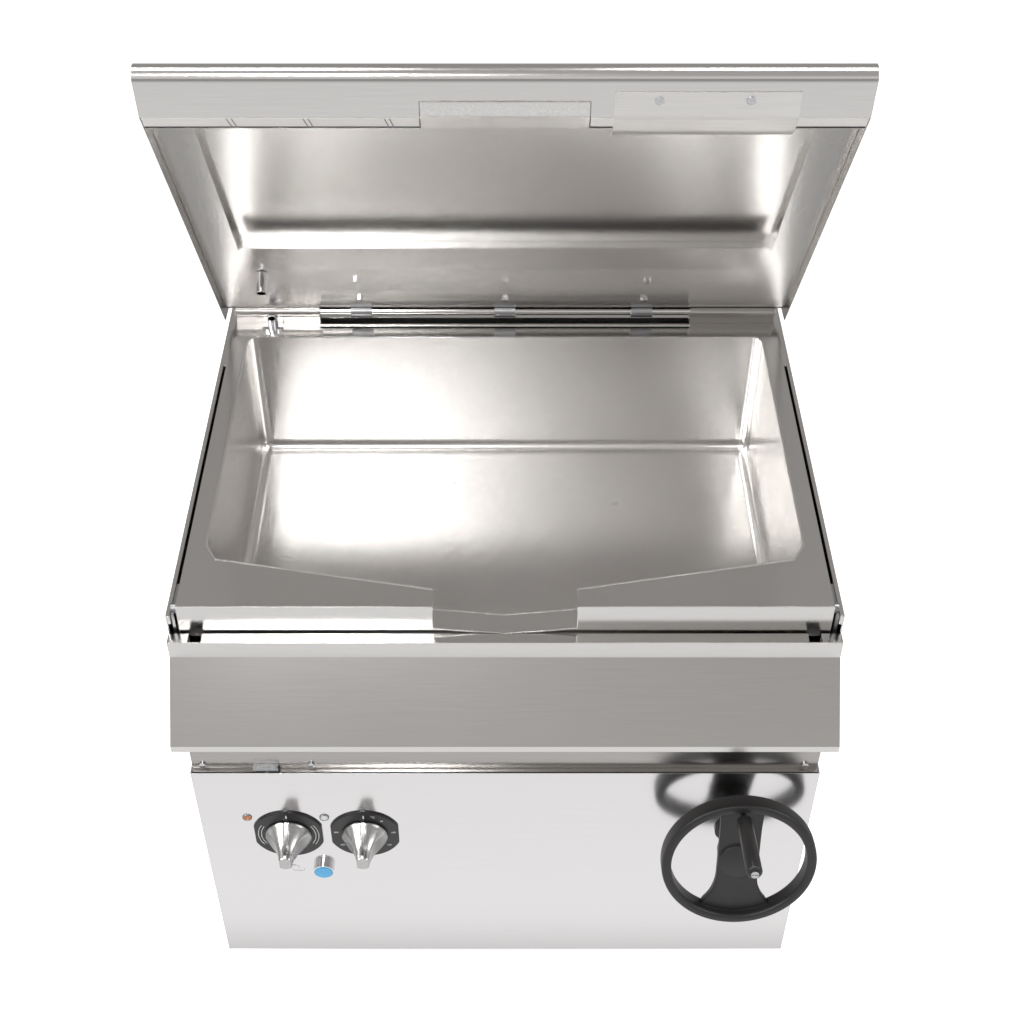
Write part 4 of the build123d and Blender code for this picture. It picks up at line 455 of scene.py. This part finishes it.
def wheel_ring():
    """The round ring, spun from a full oval section."""
    bm = bmesh.new()
    section = bmesh.ops.create_circle(bm, segments=RING_SECTION_POINTS, radius=1.0)["verts"]
    for vert in section:
        across, deep = fuller(vert.co.x), fuller(vert.co.y)
        vert.co = Vector((RING_MEAN + RING_HALF_WIDTH * across, 0, RING_HALF_DEPTH * deep))
    bmesh.ops.spin(bm, geom=bm.verts[:] + bm.edges[:], cent=(0, 0, 0), axis=(0, 0, 1), angle=2 * pi,
                   steps=RING_STEPS, use_merge=True)
    bmesh.ops.recalc_face_normals(bm, faces=bm.faces)
    return bm


def spoke_half_width(height):
    """Half the bar's width at a height over the hub: straight in the middle, flared at both ends."""
    if height < LOWER_FLARE_START:
        share = min(1.0, (LOWER_FLARE_START - height) / LOWER_FLARE_RUN)
        return SPOKE_HALF_WIDTH + LOWER_FLARE_WIDTH * share ** LOWER_FLARE_CURVE
    share = max(0.0, (height - UPPER_FLARE_START) / UPPER_FLARE_RUN)
    return SPOKE_HALF_WIDTH + UPPER_FLARE_WIDTH * share ** 2


def wheel_spoke():
    """The flat flared bar across the ring, with rounded edges."""
    bm = bmesh.new()
    bmesh.ops.create_grid(bm, x_segments=SPOKE_GRID[0], y_segments=SPOKE_GRID[1], size=1.0)
    for vert in bm.verts:
        across, along = vert.co.x, vert.co.y
        x = across * spoke_half_width(along * SPOKE_SPAN)
        y = along * (SPOKE_REACH ** 2 - x ** 2) ** 0.5
        vert.co = Vector((x, y, SPOKE_FACE))
    return soften(deepened(bm, SPOKE_DEPTH), SPOKE_EDGE)


hub = soften(turned(HUB_PROFILE), HUB_EDGE)
piece("handwheel_moulding", joined(wheel_ring(), wheel_spoke(), hub), "handwheel",
      WHEEL_PLASTIC, WHEEL_PLACE, replaces=("handwheel",))
piece("turning_grip", soften(turned(GRIP_PROFILE), GRIP_EDGE), "grip", GRIP_PLASTIC,
      WHEEL_PLACE @ Matrix.Translation((0, GRIP_OFFSET, 0)), replaces=("grip_sleeve",))


# Knobs

# Heights of the knob's rings over its base
KNOB_DEPTHS = (0.0, 1.2, 2.6, 5.0, 8.0, 11.0, 14.0, 18.0, 22.0, 27.0, 32.0, 37.0, 41.0, 43.6, 44.8)
KNOB_POINTS = 72
# Each is its size at the tip, what the base has more, and how fast that falls away
CONE_RADIUS = (11.8, 19.0, 1.6)
FIN_HALF = (8.2, 22.7, 2.2)
DRAWN_FROM = 2.0
DRAWN_RUN = 42.8
TIP_FROM = 43
TIP_SLOPE = 0.4
RIB_HALF = 2.8
RIB_HEIGHT = 1.6
KNOB_LIFT = 1.0
COLLAR_PROFILE = ((0, -17.5), (3.9, -17.5), (3.9, 0.5), (0, 0.5))


def finned_knob():
    """A cone drawn in to an upright fin, lofted ring by ring away from the panel."""
    bm = bmesh.new()
    ring = list(bmesh.ops.create_circle(bm, segments=KNOB_POINTS, radius=1.0)["verts"])
    circle = [(vert.co.x, vert.co.y) for vert in ring]
    bm.faces.new(ring[::-1])
    edges = bm.edges[:]
    for depth in KNOB_DEPTHS:
        if depth > KNOB_DEPTHS[0]:
            spots = [vert.co.copy() for vert in ring]
            out = bmesh.ops.extrude_edge_only(bm, edges=edges)["geom"]
            verts = only(bmesh.types.BMVert, out)
            edges = only(bmesh.types.BMEdge, out)
            ring = [min(verts, key=lambda vert: (vert.co - spot).length) for spot in spots]
        drawn = max(0.0, (depth - DRAWN_FROM) / DRAWN_RUN)
        chamfer = max(0.0, depth - TIP_FROM) * TIP_SLOPE
        radius, fin = (tip + more * (1 - drawn) ** fall - chamfer
                       for tip, more, fall in (CONE_RADIUS, FIN_HALF))
        for vert, (across, up) in zip(ring, circle):
            x = copysign(min(radius * abs(across), fin), across)
            ribbed = up > 0 and abs(x) < RIB_HALF and DRAWN_FROM < depth < TIP_FROM
            vert.co = Vector((x, radius * up + (RIB_HEIGHT if ribbed else 0.0), depth))
    bmesh.ops.contextual_create(bm, geom=edges)
    bmesh.ops.recalc_face_normals(bm, faces=bm.faces)
    return bm


for side, x in zip(("left", "right"), KNOB_X):
    piece(f"control_knob_{side}", joined(finned_knob(), turned(COLLAR_PROFILE)), f"{side}_knob",
          KNOB_METAL, place_at(x, BEZEL_FACE - KNOB_LIFT, KNOB_Z, FACING_FRONT),
          replaces=(f"knob_{side}",), crease=KNOB_CREASE)


# Printed marks

INK = 0.06
ARC_WIDTH = 0.7
ARC_STEPS = 24


def arc_mark(radius, start, end):
    """A flat printed arc between two angles."""
    bm = bmesh.new()
    ends = [bm.verts.new((radius, 0, 0)), bm.verts.new((radius + ARC_WIDTH, 0, 0))]
    edge = bm.edges.new(ends)
    bmesh.ops.rotate(bm, verts=ends, cent=(0, 0, 0), matrix=Matrix.Rotation(radians(start), 3, "Z"))
    bmesh.ops.spin(bm, geom=[*ends, edge], cent=(0, 0, 0), axis=(0, 0, 1), angle=radians(end - start),
                   steps=ARC_STEPS)
    bmesh.ops.recalc_face_normals(bm, faces=bm.faces)
    return bm


def stroke(x0, y0, x1, y1, width):
    """A flat printed line between two points."""
    length = ((x1 - x0) ** 2 + (y1 - y0) ** 2) ** 0.5
    bm = bmesh.new()
    bmesh.ops.create_grid(bm, x_segments=1, y_segments=1, size=0.5)
    bmesh.ops.scale(bm, vec=(length, width, 1), verts=bm.verts)
    middle = Matrix.Translation(((x0 + x1) / 2, (y0 + y1) / 2, 0))
    turn = Matrix.Rotation(atan2(y1 - y0, x1 - x0), 4, "Z")
    bmesh.ops.transform(bm, matrix=middle @ turn, verts=bm.verts)
    return bm


def printed_text(text, height, centre):
    """A flat printed number or unit, upright and centred on a point."""
    curve = bpy.data.curves.new("number", "FONT")
    curve.body = text
    curve.size = height
    curve.align_x, curve.align_y = "CENTER", "CENTER"
    holder = bpy.data.objects.new("number", curve)
    bpy.context.scene.collection.objects.link(holder)
    bpy.context.view_layer.update()
    mesh = bpy.data.meshes.new_from_object(holder)
    bm = bmesh.new()
    bm.from_mesh(mesh)
    bmesh.ops.translate(bm, verts=bm.verts, vec=(*centre, 0))
    bpy.data.objects.remove(holder)
    bpy.data.curves.remove(curve)
    bpy.data.meshes.remove(mesh)
    return bm


def inked(*marks):
    """Printed marks closed to thin solids by the thickness of their ink."""
    return deepened(joined(*marks), INK)


# The pointer over each dial, as a stroke
DIAL_POINTER = (0, 35.5, 0, 42.0, 1.6)
SWITCH_RADII = (35.6, 39.6)
SWITCH_ARC_STARTS = (148, -32)
SWITCH_ARC_SWEEP = 64
DIAL_NUMBERS = (("50", 52), ("100", 8), ("150", -36), ("200", -90), ("250", 216), ("300", 172))
NUMBER_RADIUS = 38.2
NUMBER_HEIGHT = 4.2
UNIT_AT = (12.5, 38.5)
UNIT_HEIGHT = 5.4
PICTOGRAM_X, PICTOGRAM_Z = -283.0, 376.0
# The tap's spout as an arc, then its pipe, handle, drops and basin as strokes
SPOUT_ARC = (3.2, 20, 100)
TAP_STROKES = (
    (-6.0, 3.5, -0.4, 3.5, 0.8), (-3.4, 3.5, -3.4, 5.2, 0.8), (-5.4, 5.4, -1.4, 5.4, 0.8),
    (3.1, -0.2, 3.1, 1.2, 0.8), (3.0, -2.6, 3.0, -1.8, 0.7), (-5.4, -4.0, -5.4, -7.8, 0.7),
    (9.6, -4.0, 9.6, -7.8, 0.7), (-4.8, -8.6, 9.0, -8.6, 0.7), (-0.2, -6.2, 0.8, -6.2, 0.8),
    (4.2, -6.2, 5.2, -6.2, 0.8),
)

switch_marks = [arc_mark(radius, start, start + SWITCH_ARC_SWEEP)
                for radius in SWITCH_RADII for start in SWITCH_ARC_STARTS]
switch_marks.append(stroke(*DIAL_POINTER))
piece("switch_scale", inked(*switch_marks), "cabinet", WHITE_INK,
      place_at(KNOB_X[0], BEZEL_FACE - INK, KNOB_Z, FACING_FRONT))
heat_marks = [stroke(*DIAL_POINTER), printed_text("°C", UNIT_HEIGHT, UNIT_AT)]
for text, angle in DIAL_NUMBERS:
    centre = (NUMBER_RADIUS * cos(radians(angle)), NUMBER_RADIUS * sin(radians(angle)))
    heat_marks.append(printed_text(text, NUMBER_HEIGHT, centre))
piece("temperature_scale", inked(*heat_marks), "cabinet", WHITE_INK,
      place_at(KNOB_X[1], BEZEL_FACE - INK, KNOB_Z, FACING_FRONT))
tap_marks = [arc_mark(*SPOUT_ARC), *(stroke(*line) for line in TAP_STROKES)]
piece("water_pictogram", inked(*tap_marks), "cabinet", GREY_INK,
      place_at(PICTOGRAM_X, PANEL_FRONT - INK, PICTOGRAM_Z, FACING_FRONT))


# Pilot lamps

LENS_PROFILE = ((0, -23.8), (5.4, -23.8), (5.4, 0.2), (4.9, 0.3), (4.9, 1.2), (3.6, 1.8), (1.8, 2.1),
                (0, 2.15))
LAMP_RIM_PROFILE = ((5.0, 0.0), (6.4, 0.0), (6.4, 0.9), (6.0, 1.5), (5.4, 1.7), (5.0, 1.4), (5.0, 0.0))
PILOT_LAMPS = (("left", LAMP_X[0], ORANGE, "pilot_lamp_orange", "orange_lens"),
               ("right", LAMP_X[1], CLEAR, "pilot_lamp_clear", "clear_lens"))

for side, x, finish, node, slot in PILOT_LAMPS:
    lamp_place = place_at(x, PANEL_FRONT, LAMP_Z, FACING_FRONT)
    piece(f"pilot_lens_{side}", turned(LENS_PROFILE), "cabinet", finish, lamp_place,
          replaces=(node,), crease=ROUND_CREASE)
    piece(f"pilot_rim_{side}", turned(LAMP_RIM_PROFILE), "cabinet", MACHINED, lamp_place,
          crease=RIM_CREASE)


# Lid handle, filling nozzle and lip, given as on the closed lid

HANDLE_X = (119.0, 321.0)
HANDLE_LINE = ((-237.6, 864.4), (-207.25, 850.8), (-180.0, 850.8), (-167.0, 854.6))
HANDLE_THICKNESS = 1.2
HANDLE_BEND = 4.5
NOZZLE_PROFILE = ((6.0, -30.5), (6.6, -31.0), (7.6, -30.5), (7.6, -1.0), (6.0, -1.0), (6.0, -30.5))
NOZZLE_AT = (-329.0, HINGE_Y - 123.0, 867.0)
LIP_X = ((-398.0, -94.0), (94.0, 398.0))
LIP_Y, LIP_Z = -198.0, 851.7
LIP_DEPTH = 17.0
LIP_THICKNESS = 0.4

# The line is the plate's visible side; a thickness below zero goes up from it, towards the lid
piece("folded_lid_handle", folded(HANDLE_LINE, -HANDLE_THICKNESS, *HANDLE_X, HANDLE_BEND), "lid",
      BLASTED_SHEET, LID_PLACE, replaces=("lid_handle",), crease=ROUND_CREASE)
piece("filling_nozzle", turned(NOZZLE_PROFILE), "lid", CHROME,
      LID_PLACE @ Matrix.Translation(NOZZLE_AT), replaces=("lid_nozzle",))
# Thin pale strips under the lid's lip, a painted highlight that makes the lip show white
for side, (low, high) in zip(("left", "right"), LIP_X):
    strip = bar(high - low, LIP_DEPTH, LIP_THICKNESS, ((low + high) / 2, LIP_Y, LIP_Z))
    piece(f"painted_highlight_lip_{side}", strip, "lid", LIP_HIGHLIGHT_SHEET, LID_PLACE)


# Rear edge of the tub, weld marks on the lid's lip and top edge of the control panel

BEAD_SIZE = (698.0, 2.0, 0.9)
BEAD_AT = (0, 297.6, 850.3)
BEAD_EDGE = 0.4
MARK_X = (-305.0, -221.0, -132.0)
MARK_SHIFTS = (0.0, 5.5)
MARK_Y = (-205.5, -190.5)
MARK_LEAN = 3.5
MARK_WIDTH = 1.0
MARK_Z = 851.4
RETURN_SIZE = (797.0, 8.0, 0.8)
RETURN_AT = (0, PANEL_FRONT + 4.0, 582.6)
RETURN_EDGE = 0.2

piece("rear_edge_bead", soften(bar(*BEAD_SIZE, BEAD_AT), BEAD_EDGE), "pan", CHROME,
      IN_PLACE)
weld_marks = [stroke(x + shift, MARK_Y[0], x + shift + MARK_LEAN, MARK_Y[1], MARK_WIDTH)
              for x in MARK_X for shift in MARK_SHIFTS]
# Heat-tinted like the heater sheath, so the welds show as dark slanting ticks
piece("lip_weld_marks", inked(*weld_marks), "lid", ELEMENT,
      LID_PLACE @ Matrix.Translation((0, 0, MARK_Z)))
piece("panel_top_return", soften(bar(*RETURN_SIZE, RETURN_AT), RETURN_EDGE), "cabinet",
      GROUND_SHEET, IN_PLACE)


# Stage: floor, world, lamps and camera, in metres

FLOOR_SIZE = 60.0
FLOOR_GLOW = 0.7
# What the metal mirrors of the floor, from far in front of the object to behind it
FLOOR_MIRRORED = ((0.0, "908F8E"), (0.667, "FFFFFF"), (0.68, "FFFFFF"), (0.705, "A4A3A2"), (1.0, "A4A3A2"))
FLOOR_MIRRORED_Y = (-4.5, 1.5)
FLOOR_MIRRORED_LEVEL = 1.07
# What it mirrors of the room: from the back under the object to the front at a half, and from there over
# the ceiling to the back again
ROOM_MIRRORED = ((0.0, "A4A2A0"), (0.25, "C8C6C4"), (0.42, "E4E2E0"), (0.545, "E4E2E0"),
                 (0.585, "B2B0AE"), (0.66, "B2B0AE"), (0.78, "9A9896"), (0.9, "A2A09E"), (1.0, "B4B2B0"))
# Name, place, the point that it is aimed at, width, height and watts
SOFTBOXES = (
    ("key_left", (-2.6, -1.2, 3.0), (0, 0, 0.8), 1.6, 1.6, 60),
    ("fill_right", (2.8, -0.6, 2.6), (0, 0, 0.8), 1.4, 1.8, 35),
    ("tub_light", (-0.53, -1.9, 2.82), (-0.2, 0.29, 0.76), 0.4, 0.4, 18),
    ("overhead_left", (-0.8, 0.12, 3.0), (-0.45, 0.12, 1.2), 0.5, 1.0, 15),
    ("overhead_right", (0.8, 0.12, 3.0), (0.45, 0.12, 1.2), 0.5, 1.0, 15),
)
CAMERA_PLACE = (0.0, -1.481, 2.178)
CAMERA_TURN = 47.1
CAMERA_LENS_MM = 55.46
CAMERA_SENSOR_MM = 36.0


def studio_floor():
    """A floor that is white to the eye and still holds the shadow, and graded where metal mirrors it."""
    bm = bmesh.new()
    bmesh.ops.create_grid(bm, x_segments=1, y_segments=1, size=FLOOR_SIZE)
    mesh = bpy.data.meshes.new("studio_floor")
    bm.to_mesh(mesh)
    bm.free()
    floor = bpy.data.objects.new("studio_floor", mesh)
    bpy.context.scene.collection.objects.link(floor)
    material, tree, surface = blank("white_studio_floor", {"Base Color": srgb("F4F4F4"), "Roughness": 0.9})
    path = add(tree, "LightPath")
    mirrored = add(tree, "Math", {"operation": "MAXIMUM"}, i0=path.outputs["Is Glossy Ray"],
                   i1=path.outputs["Is Transmission Ray"])
    glow = add(tree, "Emission", {"Color": srgb("FFFFFF"), "Strength": FLOOR_GLOW})
    both = add(tree, "AddShader", i0=surface.outputs[0], i1=glow.outputs[0])
    seen = add(tree, "MixShader", i0=path.outputs["Is Camera Ray"], i1=surface.outputs[0],
               i2=both.outputs[0])
    away = add(tree, "SeparateXYZ", Vector=add(tree, "TexCoord").outputs["Object"])
    depth = add(tree, "MapRange", {"From Min": FLOOR_MIRRORED_Y[0], "From Max": FLOOR_MIRRORED_Y[1]},
                i0=away.outputs["Y"])
    shade = add(tree, "ValToRGB", {"stops": FLOOR_MIRRORED}, i0=depth.outputs["Result"])
    even = add(tree, "Emission", {"Strength": FLOOR_MIRRORED_LEVEL}, Color=shade.outputs["Color"])
    mix = add(tree, "MixShader", i0=mirrored.outputs[0], i1=seen.outputs[0], i2=even.outputs[0])
    output = next(node for node in tree.nodes if node.type == "OUTPUT_MATERIAL")
    tree.links.new(mix.outputs[0], output.inputs["Surface"])
    mesh.materials.append(material)


def studio_world():
    """White to the eye; a room of greys for what lights the object and what the metal mirrors."""
    world = bpy.data.worlds.new("studio")
    bpy.context.scene.world = world
    world.use_nodes = True
    tree = world.node_tree
    tree.nodes.clear()
    way = add(tree, "SeparateXYZ", Vector=add(tree, "TexCoord").outputs["Generated"])
    forward = add(tree, "Math", {"operation": "MULTIPLY", "i1": -1.0}, i0=way.outputs["Y"])
    turn = add(tree, "Math", {"operation": "ARCTAN2"}, i0=way.outputs["Z"], i1=forward.outputs[0])
    spread = add(tree, "MapRange", {"From Min": -pi, "From Max": pi}, i0=turn.outputs[0])
    shade = add(tree, "ValToRGB", {"stops": ROOM_MIRRORED}, i0=spread.outputs["Result"])
    room = add(tree, "Background", {"Strength": 1.0}, Color=shade.outputs["Color"])
    white = add(tree, "Background", {"Color": srgb("FFFFFF"), "Strength": 1.0})
    path = add(tree, "LightPath")
    mix = add(tree, "MixShader", i0=path.outputs["Is Camera Ray"], i1=room.outputs[0],
              i2=white.outputs[0])
    add(tree, "OutputWorld", Surface=mix.outputs[0])


def softbox(name, place, target, width, height, watts):
    """A rectangular lamp aimed at a point."""
    data = bpy.data.lights.new(name, "AREA")
    data.shape = "RECTANGLE"
    data.size, data.size_y = width, height
    data.energy = watts
    lamp = bpy.data.objects.new(name, data)
    lamp.location = place
    aim = Vector(target) - Vector(place)
    lamp.rotation_euler = aim.to_track_quat("-Z", "Y").to_euler()
    bpy.context.scene.collection.objects.link(lamp)


def studio_camera():
    """The photograph's view: in front of the cabinet and well above the lid."""
    data = bpy.data.cameras.new("camera")
    data.lens = CAMERA_LENS_MM
    data.sensor_width = CAMERA_SENSOR_MM
    camera = bpy.data.objects.new("camera", data)
    camera.location = CAMERA_PLACE
    camera.rotation_euler = (radians(CAMERA_TURN), 0.0, 0.0)
    bpy.context.scene.collection.objects.link(camera)
    bpy.context.scene.camera = camera


studio_floor()
studio_world()
for lamp in SOFTBOXES:
    softbox(*lamp)
studio_camera()
bpy.context.scene.view_settings.view_transform = "Standard"
